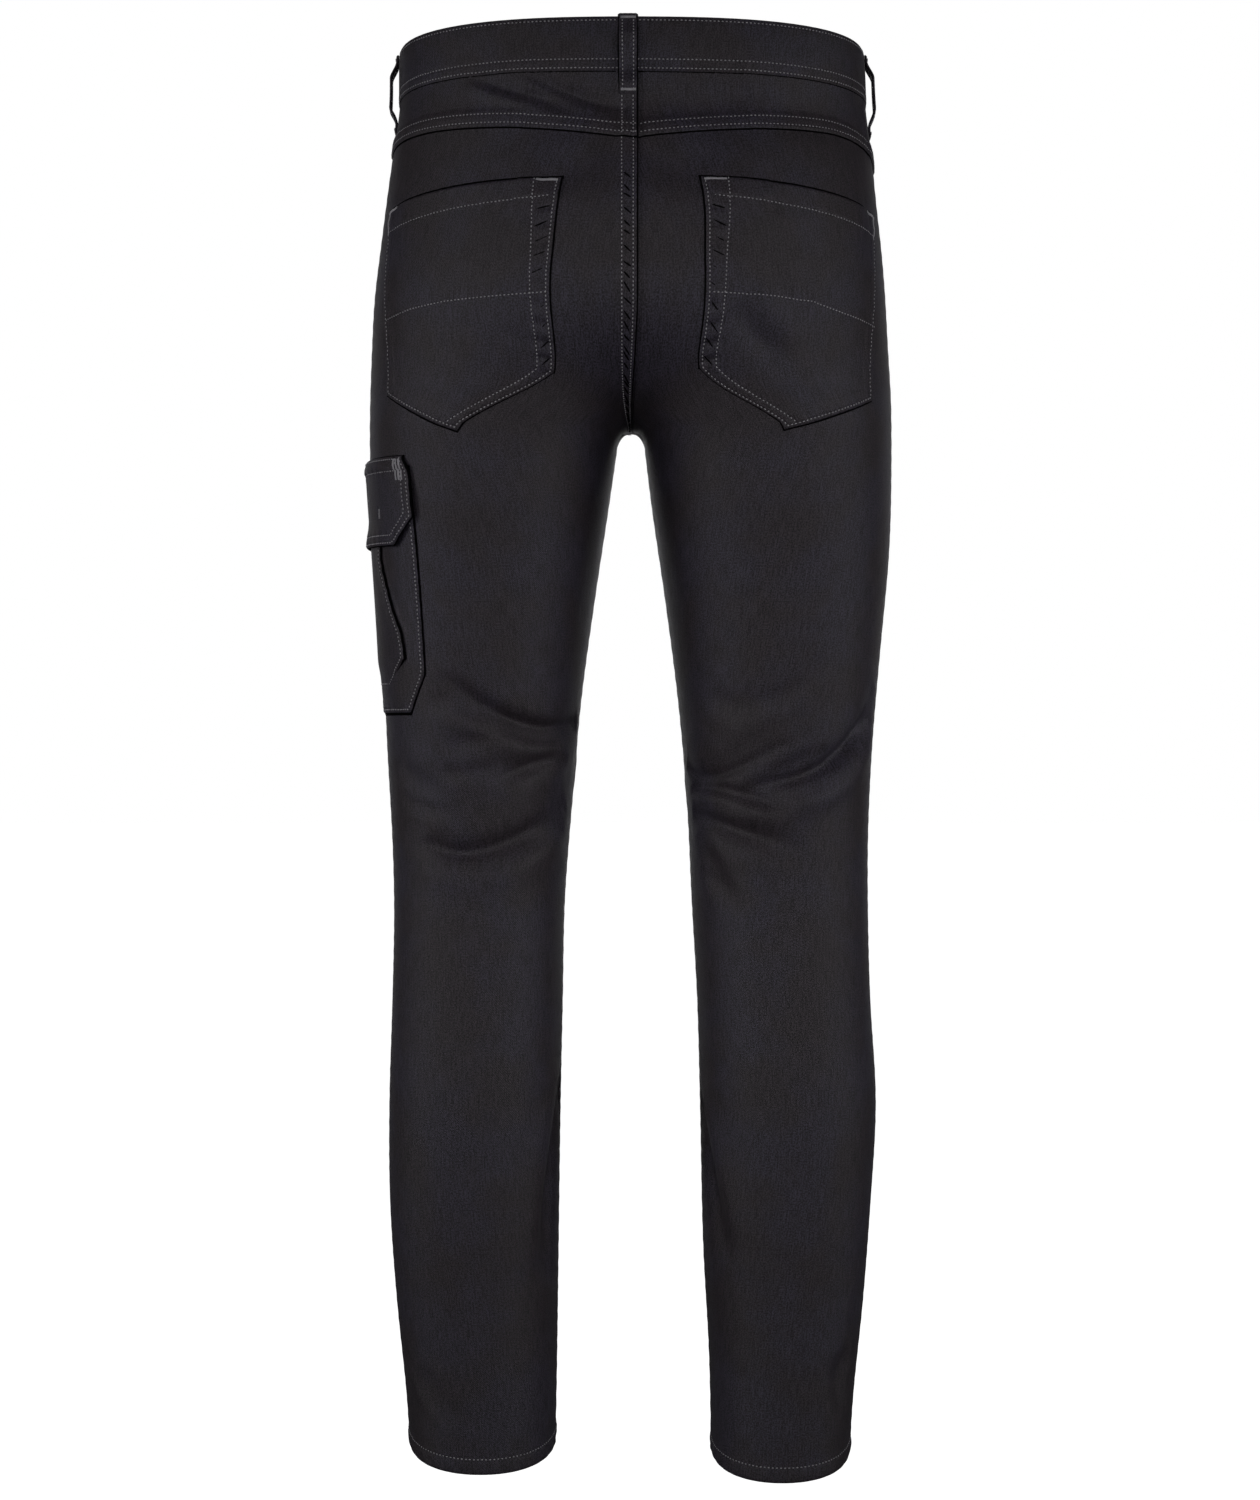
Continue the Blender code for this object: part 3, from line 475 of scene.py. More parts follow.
def on_cloth(side, girth, drop, lift):
    """Points at arrays of girth, drop and lift. Past a centre seam they lie on the other side."""
    girth, drop, lift = (part.astype(float).ravel()
                         for part in np.broadcast_arrays(girth, drop, lift))
    point = on_form(side, girth, drop, lift)
    for half, way in (("front", -1), ("back", 1)):
        past = way * girth - half_girth(side, half, drop)
        over = (past > 0) & (drop < CROTCH)
        if over.any():
            there = half_girth(OTHER[side], half, drop[over]) - past[over]
            point[over] = on_form(OTHER[side], way * there, drop[over], lift[over])
    return point


def cloth_sheet(name, across, down, shape, wall):
    """A flat grid laid on the form, with its wall inwards.

    shape(a, d) is given each place's share across and its value down, and returns its side,
    girth, drop and lift, and which places lie down in the crack beside a turned edge; the faces
    there take the painted crack shade. The cut is kept as a UV map, in metres.
    """
    bm = bmesh.new()
    bmesh.ops.create_grid(bm, x_segments=len(across) - 1, y_segments=len(down) - 1, size=0.5)
    grid = np.array([vert.co[:2] for vert in bm.verts]) + 0.5
    a = np.interp(grid[:, 0], np.linspace(0, 1, len(across)), across)
    d = np.interp(grid[:, 1], np.linspace(0, 1, len(down)), down)
    side, girth, drop, lift, sunk_and_painted_shade = shape(a, d)
    points = on_cloth(side, girth, drop, lift)
    outward = on_cloth(side, girth, drop, lift + 1) - points
    for vert, point in zip(bm.verts, points * MM):
        vert.co = point
    bm.normal_update()
    bm.verts.index_update()
    facing = sum(face.normal.dot(Vector(outward[face.verts[0].index])) for face in bm.faces)
    if facing < 0:
        bmesh.ops.reverse_faces(bm, faces=bm.faces)
    for face in bm.faces:
        # Faces that touch a place in the crack take the second material, the painted crack shade.
        face.material_index = int(any(sunk_and_painted_shade[vert.index] for vert in face.verts))
    piece = mesh_in_scene(name, bm)
    corners = np.zeros(len(piece.data.loops), int)
    piece.data.loops.foreach_get("vertex_index", corners)
    cut = np.stack(np.broadcast_arrays(girth, -drop), axis=1) * MM
    flat = piece.data.uv_layers.new(name="cut")
    flat.data.foreach_set("uv", cut[corners].astype(np.float32).ravel())
    solid = piece.modifiers.new("wall", "SOLIDIFY")
    solid.thickness = wall * MM
    solid.offset = -1
    return piece


def no_crack(a):
    return np.zeros(len(a), bool)


def finish_cloth(piece, material, nodes, area):
    """Give a piece its cloth and say which solids it stands for. The area is not used."""
    piece.data.materials.append(material)
    # The second slot is the painted crack shade, a painted shadow beside turned edges.
    piece.data.materials.append(PAINTED_CRACK_SHADE)
    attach(piece, "root")
    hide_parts(*nodes)


# Black stretch cotton twill: piece-dyed 3/1 twill with a dull gloss, and fine lighter flecks
# where the undyed elastane core shows. The dye lies in soft clouds, some browner, some bluer.
# Real ribs are 0.55 mm apart, too fine to show, so they are drawn 1.2 mm apart.
FLECK, CLOUD, RIB = 1.1, 60, 1.2    # millimetres across
SLUB = (0.9, 14)        # width and length of a thicker stretch of yarn
SLUB_SHARE = 0.32
BROWNER, BLUER = (1.07, 0.94, 0.91, 1), (0.97, 0.93, 1.07, 1)
BAND_PERIOD = 0.444     # metres from one diagonal wave of the texture to the next, at scale 1


def mixed_colour(tree, share, first, second):
    return add_node(tree, "ShaderNodeMix", {"data_type": "RGBA"}, i0=share, i6=first,
                    i7=second).outputs[2]


def ranged(tree, value, least, most, to_least=0, to_most=1):
    """A value brought from one range to another, and kept inside it."""
    return add_node(tree, "ShaderNodeMapRange", Value=value, From_Min=least, From_Max=most,
                    To_Min=to_least, To_Max=to_most).outputs[0]


def twill(name, dark, light):
    """Twill of a dark and a light yarn, laid out on the piece's cut."""
    material, tree, shader = new_material(name, Specular_IOR_Level=0.5)
    cut = add_node(tree, "ShaderNodeUVMap", {"uv_map": "cut"}).outputs["UV"]

    def noise(vector, scale, detail, roughness):
        return add_node(tree, "ShaderNodeTexNoise", {"noise_dimensions": "2D"}, Vector=vector,
                        Scale=scale, Detail=detail, Roughness=roughness).outputs["Fac"]

    fleck = noise(cut, 1000 / FLECK, 2.0, 0.7)
    cloud = noise(cut, 1000 / CLOUD, 3.0, 0.55)
    stretched = add_node(tree, "ShaderNodeMapping", Vector=cut,
                         Scale=(1000 / SLUB[0], 1000 / SLUB[1], 1)).outputs["Vector"]
    yarn = add_node(tree, "ShaderNodeMath", {"operation": "MULTIPLY_ADD"},
                    i0=noise(stretched, 1.0, 1.0, 0.5), i1=SLUB_SHARE, i2=fleck).outputs[0]
    cloth = mixed_colour(tree, ranged(tree, yarn, 0.5, 0.81), linear(dark), linear(light))
    dye = mixed_colour(tree, ranged(tree, cloud, 0.38, 0.62), BROWNER, BLUER)
    dyed = add_node(tree, "ShaderNodeVectorMath", {"operation": "MULTIPLY"}, i0=cloth, i1=dye)
    clouded = add_node(tree, "ShaderNodeVectorMath", {"operation": "SCALE"}, i0=dyed.outputs[0],
                       Scale=ranged(tree, cloud, 0.35, 0.65, 0.88, 1.1)).outputs[0]
    ribs = add_node(tree, "ShaderNodeTexWave",
                    {"wave_type": "BANDS", "bands_direction": "DIAGONAL"}, Vector=cut,
                    Scale=BAND_PERIOD * 1000 / RIB, Distortion=0.6, Detail=1.0).outputs["Fac"]
    rough = add_node(tree, "ShaderNodeMath", {"operation": "ADD"}, i0=ribs, i1=fleck).outputs[0]
    weave = add_node(tree, "ShaderNodeBump", Strength=0.34, Distance=0.0004, Height=rough)
    set_inputs(shader, Base_Color=clouded, Normal=weave.outputs[0],
               Roughness=ranged(tree, fleck, 0, 1, 0.52, 0.68))
    return material


BLACK_TWILL = twill("black_stretch_twill", "131114", "4a464f")

# The same twill down in the crack beside a turned edge, painted near black and dull: painted shade for
# the shadow in the crack.
PAINTED_CRACK_SHADE = new_material("black_twill_painted_crack_shade", Base_Color=linear("080709"), Roughness=0.95,
                     Specular_IOR_Level=0.05)[0]

PANEL_WALL = 1.4
BAND_DEEP = 38
YOKE_CENTRE, YOKE_LEAST, YOKE_TURN = 84.5, 73, 0.6
YOKE_SIDE = {"left": 78, "right": 90}
UNDER_YOKE = 7          # the backs run up under the yokes by this much
SEAT_LAP = 5.2          # the wearer's left back laps over the right one
SEAT_ROWS = (3.7, 11.7)         # two rows of topstitching, from the lap's folded edge
LAP_THICK = 1.6
ROPY_PITCH, ROPY_DEEP = 11.8, 0.7       # hollows between the rows, pulled slanting
FLY_LAP, FLY_END = 4, 194
HEM_DROP = {"left": 1018, "right": 1024}
HEM_SWING = {"back": 16.5, "front": -10}
HEM_ROW = 11            # hem stitching above the edge
SCOOP_WIDE, SCOOP_DEEP = 108, 70
SCOOP_SLANT = 0.8       # distance from the pocket opening for each millimetre of drop
SCOOP_ROWS = (2.0, 8.0)
TOP_BLEND, LOW_BLEND = 150, 985
# Side seam and inseam: depth of the groove, height of the stitches' pull, its pitch and how
# fast that pitch wanders.
SIDE_SEAM, LEG_SEAM = (0.6, 0.24, 11.3, 0.037), (0.55, 0.2, 12.7, 0.041)
SEAM_WIDE, PULL_WIDE = 1.6, 9
ROW_WIDE = 0.9          # half width of the groove under a row of topstitching


def steps(*stretches):
    """Values along stretches of start, end and step."""
    return np.concatenate([np.arange(*stretch) for stretch in stretches] + [[stretches[-1][1]]])


def crowded(count, tight=0.6):
    """Shares from 0 to 1 that stand closer at both ends."""
    even = np.linspace(0, 1, count + 1)
    return even - tight * np.sin(2 * math.pi * even) / (2 * math.pi)


def within(distance, wide, soft):
    """1 up to a width from an edge, then 0 after a soft step."""
    return 1 - ease((distance - wide) / soft)


def rolled(inside, wide):
    """How far a folded edge rolls down: 1 at the fold, and 0 from a width inside it."""
    return (1 - inside / wide).clip(0) ** 2


def wander(run, pitch, sway, pace):
    """A wave whose pitch wanders, as the pull of the stitches along a seam does."""
    return np.sin(2 * math.pi * run / pitch + sway * np.sin(run * pace))


def grooves(distance, rows, deep):
    """Grooves under rows of topstitching, at their distances from an edge."""
    return deep * sum(bump(distance - row, ROW_WIDE) for row in rows)


def yoke_line(side, a):
    """Drop of the yoke's lower edge, from the centre back to the side seam."""
    near_side = (YOKE_SIDE[side] - YOKE_LEAST) * ((a - YOKE_TURN) / (1 - YOKE_TURN)).clip(0) ** 2
    return YOKE_LEAST + (YOKE_CENTRE - YOKE_LEAST) * (1 - a) ** 3 + near_side


def scoop_line(from_side):
    """Drop of a front's top edge: under the waistband, then the pocket opening."""
    return BAND_DEEP - 4 + SCOOP_DEEP * np.sin(math.pi / 2 * (1 - from_side / SCOOP_WIDE).clip(0))


def centre_lap(side, half, drop):
    """How far a piece reaches past the centre: the left one laps over the right one."""
    if side == "right":
        return 0 * drop
    if half == "back":
        return SEAT_LAP * ease((CROTCH - 4 - drop) / 90)
    return FLY_LAP * ease((FLY_END + 14 - drop) / 20)


def lapped_seam(side, half, girth, drop):
    """Relief of the lap at the centre, sewn down twice, and of the hollow beside it."""
    inside = half_girth(side, half, drop) + centre_lap(side, half, drop) - np.abs(girth)
    fade = ease((CROTCH + 2 - drop) / 26)
    if side == "right":
        return -0.9 * bump(inside - centre_lap("left", half, drop) - 0.9, 1.3) * fade
    plate = LAP_THICK * ease(inside / LAP_THICK + 0.3) * within(inside, SEAT_ROWS[1], 4.5)
    groove = 0.5 * bump(inside - SEAT_ROWS[0], ROW_WIDE)
    groove += 0.8 * bump(inside - SEAT_ROWS[1] - 0.6, 1.2)
    uneven = 0.55 + 0.45 * np.sin(drop * 0.083 + 1.1) * np.sin(drop * 0.031)
    slant = drop + 1.1 * inside + 2.5 * np.sin(drop * 0.05)
    wave = (0.5 + 0.5 * np.cos(2 * math.pi * slant / ROPY_PITCH)) ** 2
    ropy = ROPY_DEEP * wave * uneven * bump(inside - 7.2, 4.2) * ease((drop - 100) / 40)
    return (plate - groove - ropy) * fade


def plain_seam(distance, drop, deep, high, pitch, pace):
    """Relief of a seam sewn right side to right side, and the uneven pull beside it."""
    pull = high * wander(drop, pitch, 2, pace) * np.exp(-distance.clip(0) / PULL_WIDE)
    return pull - deep * bump(distance, SEAM_WIDE)


def panel_lift(side, half, girth, drop, hem):
    """Relief of a front or back: its seams, the pull of their stitches, and the hem."""
    from_side = np.abs(girth)
    from_inner = half_girth(side, half, drop) - from_side
    lift = plain_seam(from_side, drop, *SIDE_SEAM)
    lift += ease((drop - CROTCH) / 10) * plain_seam(from_inner, drop, *LEG_SEAM)
    lift += lapped_seam(side, half, girth, drop)
    up = hem - drop
    lift += 0.45 * within(up, HEM_ROW, 3) - 0.6 * bump(up - HEM_ROW, 1.1)
    slant = 2 * math.pi * (girth + 0.7 * up) / 11.5
    lift += 0.42 * np.sin(slant + np.sin(girth * 0.06)) * bump(up - HEM_ROW / 2, 4.5)
    lift -= 0.8 * rolled(up, 2)
    if half == "back":
        lift += 0.4 * within(from_side, 9, 2.5)
    else:
        into = (drop - scoop_line(from_side)) * SCOOP_SLANT
        rim = 0.8 * ease(into / 1.5 + 0.2) * within(into, SCOOP_ROWS[1], 3)
        rim -= grooves(into, SCOOP_ROWS, 0.45)
        lift += rim * ease((SCOOP_WIDE - from_side) / 12) * (into > -1)
    return lift


def panel_shape(side, half):
    way = 1 if half == "back" else -1

    def shape(a, d):
        whole = half_girth(side, half, np.full_like(d, TOP_BLEND))
        top = yoke_line(side, 1 - a) - UNDER_YOKE if half == "back" else scoop_line(a * whole)
        into = (d - d.min()) / (TOP_BLEND - d.min())
        drop = np.where(d < TOP_BLEND, top + into * (TOP_BLEND - top), d)
        hem = HEM_DROP[side] + HEM_SWING[half] * np.sin(math.pi * a)
        low = LOW_BLEND + (d - LOW_BLEND) / (d.max() - LOW_BLEND) * (hem - LOW_BLEND)
        drop = np.where(d > LOW_BLEND, low, drop)
        girth = way * a * (half_girth(side, half, drop) + centre_lap(side, half, drop))
        # The left piece's last column at the centre lap takes the painted crack shade: a painted
        # shadow beside its folded edge.
        folded = (a > 0.9999) & (drop < CROTCH - 3) & (side == "left")
        return side, girth, drop, panel_lift(side, half, girth, drop, hem), folded

    return shape


def cut_area(side, half, top, low):
    """Flat area of a panel, in square metres."""
    return float(half_girth(side, half, np.arange(top, low)).sum()) * 1e-6


# Rows of each panel's mesh, closest round the crotch, and the mean drop of its upper edge.
PANEL_DROPS = {
    "front": (60, steps((34, 190, 3.2), (190, 278, 4), (278, 292, 1), (292, 440, 4),
                        (440, 612, 3), (612, 1000, 4.4), (1000, 1036, 1.8))),
    "back": (70, steps((70, 278, 1.8), (278, 292, 0.9), (292, 440, 4), (440, 612, 2.5),
                       (612, 1000, 4.8), (1000, 1036, 1.6))),
}
for side in SIDES:
    for half, (top, down) in PANEL_DROPS.items():
        panel = cloth_sheet(f"{half}_panel_{side}", crowded(84), down, panel_shape(side, half),
                            PANEL_WALL)
        area = cut_area(side, half, top, HEM_DROP[side] + HEM_SWING[half] / 2)
        finish_cloth(panel, BLACK_TWILL, [f"{half}_{side}"], area)

# ---------------------------------------------------------------- topstitching of the panels
# Black polyester thread, ticket 40, painted pale grey as a painted sheen for its smooth gloss: a
# lockstitch of about 3 mm. Each stitch is a small rounded dash, pulled into the cloth.
STITCH_LONG, STITCH_GAP = 1.5, 1.45
STITCH_WIDE, STITCH_HIGH = 0.95, 0.7
STITCH_LIFT = 0.15      # of a row's middle above the cloth
ROW_STEP = 2.0
BEAD_PITCH = 4
CROTCH_END = 279        # drop at which the rows of the centre seams end


def cloudy(tree, scale, detail):
    """Noise in the piece's own space."""
    place = add_node(tree, "ShaderNodeTexCoord").outputs["Object"]
    return add_node(tree, "ShaderNodeTexNoise", Vector=place, Scale=scale,
                    Detail=detail).outputs["Fac"]


thread, tree, shader = new_material("black_polyester_thread_painted_sheen", Roughness=0.45,
                                    Specular_IOR_Level=0.5)
# Painted sheen: the thread's colour is two pale greys mixed at random, for the gloss of smooth black
# thread.
set_inputs(shader, Base_Color=mixed_colour(tree, cloudy(tree, 260.0, 1.0), linear("a6a3a9"),
                                           linear("cdcad0")))


def row_on(side, girth, drop, lift):
    """A row's points on the cloth, and the points 1 mm further out."""
    return on_cloth(side, girth, drop, lift), on_cloth(side, girth, drop, lift + 1)


def sew(name, rows, long=STITCH_LONG, gap=STITCH_GAP, wide=STITCH_WIDE, fibre=None):
    """One object of stitches along rows of points: a chain of equal beads, laid on the rows."""
    frames = []
    for points, outward in rows:
        run = run_along(points)
        count = max(1, round(run[-1] / (long + gap)))
        middles = (np.arange(count) + 0.5) * run[-1] / count
        length = run[-1] / count * long / (long + gap)

        def along(table, places):
            return np.stack([np.interp(places, run, table[:, axis]) for axis in range(3)], axis=1)

        here = along(points, middles)
        ahead = along(points, middles + length / 2) - along(points, middles - length / 2)
        ahead /= np.linalg.norm(ahead, axis=1, keepdims=True)
        up = along(outward, middles) - here
        up -= ahead * (up * ahead).sum(axis=1, keepdims=True)
        up /= np.linalg.norm(up, axis=1, keepdims=True)
        across = np.cross(up, ahead)
        frames.append(np.stack([across * wide / 2, up * STITCH_HIGH / 2, ahead * length / 2,
                                here], axis=1))
    frames = np.concatenate(frames)
    chain = bmesh.new()
    bmesh.ops.create_uvsphere(chain, u_segments=6, v_segments=4, radius=1)
    made = 1
    while made < len(frames):
        whole = chain.verts[:] + chain.edges[:] + chain.faces[:]
        more = bmesh.ops.duplicate(chain, geom=whole)["geom"]
        beads = [part for part in more if isinstance(part, bmesh.types.BMVert)]
        bmesh.ops.translate(chain, verts=beads, vec=(BEAD_PITCH * made, 0, 0))
        made *= 2
    spare = [vert for vert in chain.verts if vert.co.x > BEAD_PITCH * (len(frames) - 0.5)]
    bmesh.ops.delete(chain, geom=spare, context="VERTS")
    places = np.array([vert.co for vert in chain.verts])
    bead = np.round(places[:, 0] / BEAD_PITCH).astype(int)
    places[:, 0] -= BEAD_PITCH * bead
    laid = (frames[bead, :3] * places[:, :, None]).sum(axis=1) + frames[bead, 3]
    for vert, place in zip(chain.verts, laid * MM):
        vert.co = place
    piece = mesh_in_scene(name, chain, fibre or thread)
    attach(piece, "root")
    return piece


def panel_row(side, half, from_edge, start, end):
    """A row down the centre seam, a distance in from the lap's folded edge."""
    drop = np.arange(start, end, ROW_STEP)
    way = 1 if half == "back" else -1
    girth = way * (half_girth(side, half, drop) + centre_lap(side, half, drop) - from_edge)
    relief = panel_lift(side, half, girth, drop, HEM_DROP[side])
    return row_on(side, girth, drop, relief + STITCH_LIFT)


sew("seat_seam_stitches", [panel_row("left", "back", row, 84, CROTCH_END) for row in SEAT_ROWS])

# Between the two rows the thread has drawn the lap together in small slanting nips, whose shade is
# painted: each nip is a dark bead of the painted crack shade, running down from the second row to
# the first, and no two are equal.
NIP_DROPS, NIP_FIRST, NIP_PITCH = (106, 276), 4, 9.0
NIP_FALL = 4.2          # drop from a nip's upper end to its lower one
NIP_INSET = (1.2, 1.5)  # from each row to the nip's end
NIP_SHADE_SEWN = {"long": 9, "gap": 0.1, "fibre": PAINTED_CRACK_SHADE}      # one dark bead of painted shade for a nip


def seam_nips():
    level = np.arange(*NIP_DROPS, 0.5)
    run = run_along(on_cloth("left", half_girth("left", "back", level), level, 0 * level))
    places = np.arange(NIP_FIRST, run[-1], NIP_PITCH)
    places = places + 1.6 * np.sin(places * 0.21) + 0.9 * np.sin(places * 0.57 + 1)
    rows = []
    for number, upper in enumerate(np.interp(places, run, level)):
        drop = np.array((upper, upper + NIP_FALL + 1.1 * math.sin(number * 2.3)))
        inside = np.array((SEAT_ROWS[1] - NIP_INSET[0],
                           SEAT_ROWS[0] + NIP_INSET[1] + 0.6 * math.sin(number * 1.7)))
        girth = half_girth("left", "back", drop) + centre_lap("left", "back", drop) - inside
        lift = panel_lift("left", "back", girth, drop, HEM_DROP["left"])
        rows.append(row_on("left", girth, drop, lift + 0.12))
    return rows


sew("seat_seam_painted_nip_shade", seam_nips(), wide=1.5, **NIP_SHADE_SEWN)


def hem_rows(side):
    rows = []
    for half, way in (("back", 1), ("front", -1)):
        a = np.linspace(0.005, 0.995, 120)
        hem = HEM_DROP[side] + HEM_SWING[half] * np.sin(math.pi * a)
        drop = hem - HEM_ROW
        girth = way * a * half_girth(side, half, drop)
        lift = panel_lift(side, half, girth, drop, hem) + STITCH_LIFT
        rows.append(row_on(side, girth, drop, lift))
    return rows


FRONT_LIFT = 0.2        # of the rows on the fronts above the cloth
# Curved rows that hold the fly: distance from the centre, drop of the lower end.
FLY_ROWS, FLY_TURN, FLY_FOOT = ((34, 190), (28, 184)), 46, 3


def fly_rows():
    """The curved double row that holds the fly, and the seam below it."""
    rows = []
    for out, low in FLY_ROWS:
        turn = np.linspace(0, math.pi / 2, 30)
        straight = np.arange(BAND_DEEP, low - FLY_TURN, ROW_STEP)
        drop = np.concatenate([straight, low - FLY_TURN + FLY_TURN * np.sin(turn)])
        aside = np.concatenate([np.full(len(straight), float(out)),
                                FLY_FOOT + (out - FLY_FOOT) * np.cos(turn)])
        girth = aside - half_girth("left", "front", drop)
        lift = panel_lift("left", "front", girth, drop, HEM_DROP["left"]) + FRONT_LIFT
        rows.append(row_on("left", girth, drop, lift))
    rows += [panel_row("left", "front", row, FLY_END - 2, CROTCH_END) for row in SCOOP_ROWS]
    rows.append(panel_row("left", "front", SCOOP_ROWS[0], BAND_DEEP, FLY_END - 8))
    return rows


def scoop_rows(side):
    rows = []
    for into in SCOOP_ROWS:
        from_side = np.linspace(0.5, SCOOP_WIDE + 2, 70)
        drop = scoop_line(from_side) + into / SCOOP_SLANT
        lift = panel_lift(side, "front", -from_side, drop, HEM_DROP[side]) + FRONT_LIFT
        rows.append(row_on(side, -from_side, drop, lift))
    return rows


sew("fly_stitches", fly_rows())
for side in SIDES:
    sew(f"hem_stitches_{side}", hem_rows(side))
    sew(f"pocket_opening_stitches_{side}", scoop_rows(side))

# ---------------------------------------------------------------- yokes
# A shaped strip of the same twill across each side of the seat. Its turned-under lower edge
# laps over the back and is held by two rows of topstitching.
YOKE_ROWS = (2.9, 8.9)
YOKE_THICK, YOKE_LIFT = 1.45, 0.25
YOKE_CRACK = 1.1        # the strip below its folded edge, sunk and painted as shade
CRACK_LIFT = 0.15       # of the bottom of such a crack above the form
YOKE_TOP = 34           # it runs up under the waistband
YOKE_LEVEL = 60         # drop at which its edge is measured


def yoke_lift(side, girth, drop):
    above = yoke_line(side, 1 - girth / half_girth(side, "back", drop)) - drop
    strip = YOKE_THICK * ease(above / 1.5 + 0.3) * within(above, YOKE_ROWS[1], 5)
    ripple = 0.2 * wander(girth, 9.7, 2, 0.07) * bump(above - 6.5, 4)
    side_seam = SIDE_SEAM[0] * bump(girth, SEAM_WIDE)
    relief = strip - grooves(above, YOKE_ROWS, 0.42) + ripple - side_seam
    return YOKE_LIFT + relief + lapped_seam(side, "back", girth, drop)


def yoke_shape(side):
    def shape(a, d):
        half = half_girth(side, "back", YOKE_LEVEL)
        edge = half + centre_lap(side, "back", np.full_like(a, YOKE_LEVEL))
        line = yoke_line(side, 1 - (edge * a / half).clip(0, 1))
        beyond = d > 1.01
        drop = YOKE_TOP + (line - YOKE_TOP) * d.clip(max=1) + YOKE_CRACK * beyond
        girth = a * (half_girth(side, "back", drop) + centre_lap(side, "back", drop))
        below = CRACK_LIFT + lapped_seam(side, "back", girth, drop)
        # The row beyond the edge and, on the left, the column on the lap take the painted crack shade:
        # the painted shadow line under the folded edge.
        folded = beyond | (a > 0.9999) & (side == "left")
        lift = np.where(beyond, below, yoke_lift(side, girth, drop))
        return side, girth, drop, lift, folded

    return shape


def yoke_row(side, girth, drop):
    return row_on(side, girth, drop, yoke_lift(side, girth, drop) + STITCH_LIFT)


YOKE_SHARES = np.append(np.linspace(0, 1, 34), 1.03)
YOKE_PAST = {"left": 0.018, "right": 0}     # share by which its rows run on over the lap
for side in SIDES:
    yoke = cloth_sheet(f"yoke_{side}_cloth", crowded(110, 0.4), YOKE_SHARES, yoke_shape(side), 1.4)
    finish_cloth(yoke, BLACK_TWILL, [f"yoke_{side}"], None)
    a = np.linspace(0.004, 1.0 + YOKE_PAST[side], 130)
    drops = [yoke_line(side, (1 - a).clip(0)) - above for above in YOKE_ROWS]
    sew(f"yoke_stitches_{side}",
        [yoke_row(side, a * half_girth(side, "back", drop), drop) for drop in drops])
drop = np.arange(BAND_DEEP + 1, YOKE_CENTRE, ROW_STEP)
edge = half_girth("left", "back", drop) + SEAT_LAP
sew("yoke_seat_stitches", [yoke_row("left", edge - row, drop) for row in SEAT_ROWS])

# ---------------------------------------------------------------- front pocket facings
# The cloth seen inside each scooped front pocket opening. It is caught in the waistband and in
# the side seam, and lies just behind the front.
FACING_WIDE, FACING_DEEP = 126, 84
FACING_LIFT = -2.8

for side in SIDES:
    def facing_shape(a, d):
        girth = -0.4 - FACING_WIDE * a
        slack = 0.3 * np.sin(girth * 0.09) * np.sin(d * 0.07)
        return side, girth, d, FACING_LIFT + slack - 0.4 * bump(girth, 2.0), no_crack(a)

    down = np.linspace(BAND_DEEP - 4, BAND_DEEP + FACING_DEEP, 36)
    facing = cloth_sheet(f"pocket_facing_{side}_cloth", np.linspace(0, 1, 50), down,
                         facing_shape, 1.3)
    finish_cloth(facing, BLACK_TWILL, [f"pocket_facing_{side}"], None)

# ---------------------------------------------------------------- fly
# A zip on two woven tapes behind the left front's edge, and behind it the shield, a folded
# strip of twill that keeps the zip off the wearer. Both are caught in the waistband.
ZIP_HALF, ZIP_TOP, ZIP_END = 13, 41, 196
ZIP_LIFT, ZIP_WALL = -2.8, 0.7
SHIELD_RIGHT, SHIELD_LEFT, SHIELD_END = 34, 16, 205
SHIELD_LIFT, SHIELD_WALL = -4.5, 1.4
TOOTH_PITCH, TOOTH_LONG, TOOTH_SHIFT = 1.6, 3.0, 0.5


def aside_girth(aside, drop):
    """Girth on the left front at a length aside from the centre, positive to the wearer's left."""
    return aside - half_girth("left", "front", drop)


def zip_shape(a, d):
    aside = ZIP_HALF * (2 * a - 1)
    return "left", aside_girth(aside, d), d, ZIP_LIFT - 0.25 * bump(aside, 1.0), no_crack(a)


def shield_shape(a, d):
    aside = -SHIELD_RIGHT + (SHIELD_RIGHT + SHIELD_LEFT) * a
    return "left", aside_girth(aside, d), d, SHIELD_LIFT + 0.2 * np.sin(d * 0.06), no_crack(a)


zip_tape = cloth_sheet("fly_zip_tape", np.linspace(0, 1, 15), np.linspace(ZIP_TOP, ZIP_END, 80),
                       zip_shape, ZIP_WALL)
finish_cloth(zip_tape, twill("black_woven_zip_tape", "121113", "1d1c1e"), ["fly_zip"],
             None)
shield = cloth_sheet("fly_shield_cloth", np.linspace(0, 1, 28),
                     np.linspace(BAND_DEEP - 4, SHIELD_END, 90), shield_shape, SHIELD_WALL)
finish_cloth(shield, BLACK_TWILL, ["fly_shield"], None)

gunmetal, tree, shader = new_material("gunmetal_plated_brass", Metallic=1.0)
tarnish = cloudy(tree, 900.0, 3.0)
set_inputs(shader, Base_Color=mixed_colour(tree, tarnish, linear("3a3a3d"), linear("5a5a5e")),
           Roughness=ranged(tree, tarnish, 0, 1, 0.25, 0.48))


def zip_teeth():
    """Teeth of both tapes, meshed along the middle of the closed zip."""
    rows = []
    for number, level in enumerate(np.arange(ZIP_TOP + 6, ZIP_END - 4, TOOTH_PITCH)):
        middle = TOOTH_SHIFT if number % 2 else -TOOTH_SHIFT
        drop = np.full(2, level)
        aside = middle + np.array((-TOOTH_LONG, TOOTH_LONG)) / 2
        rows.append(row_on("left", aside_girth(aside, drop), drop, np.full(2, ZIP_LIFT + 0.35)))
    return rows


teeth = sew("fly_zip_teeth", zip_teeth(), long=TOOTH_LONG, gap=0.01, wide=1.3, fibre=gunmetal)

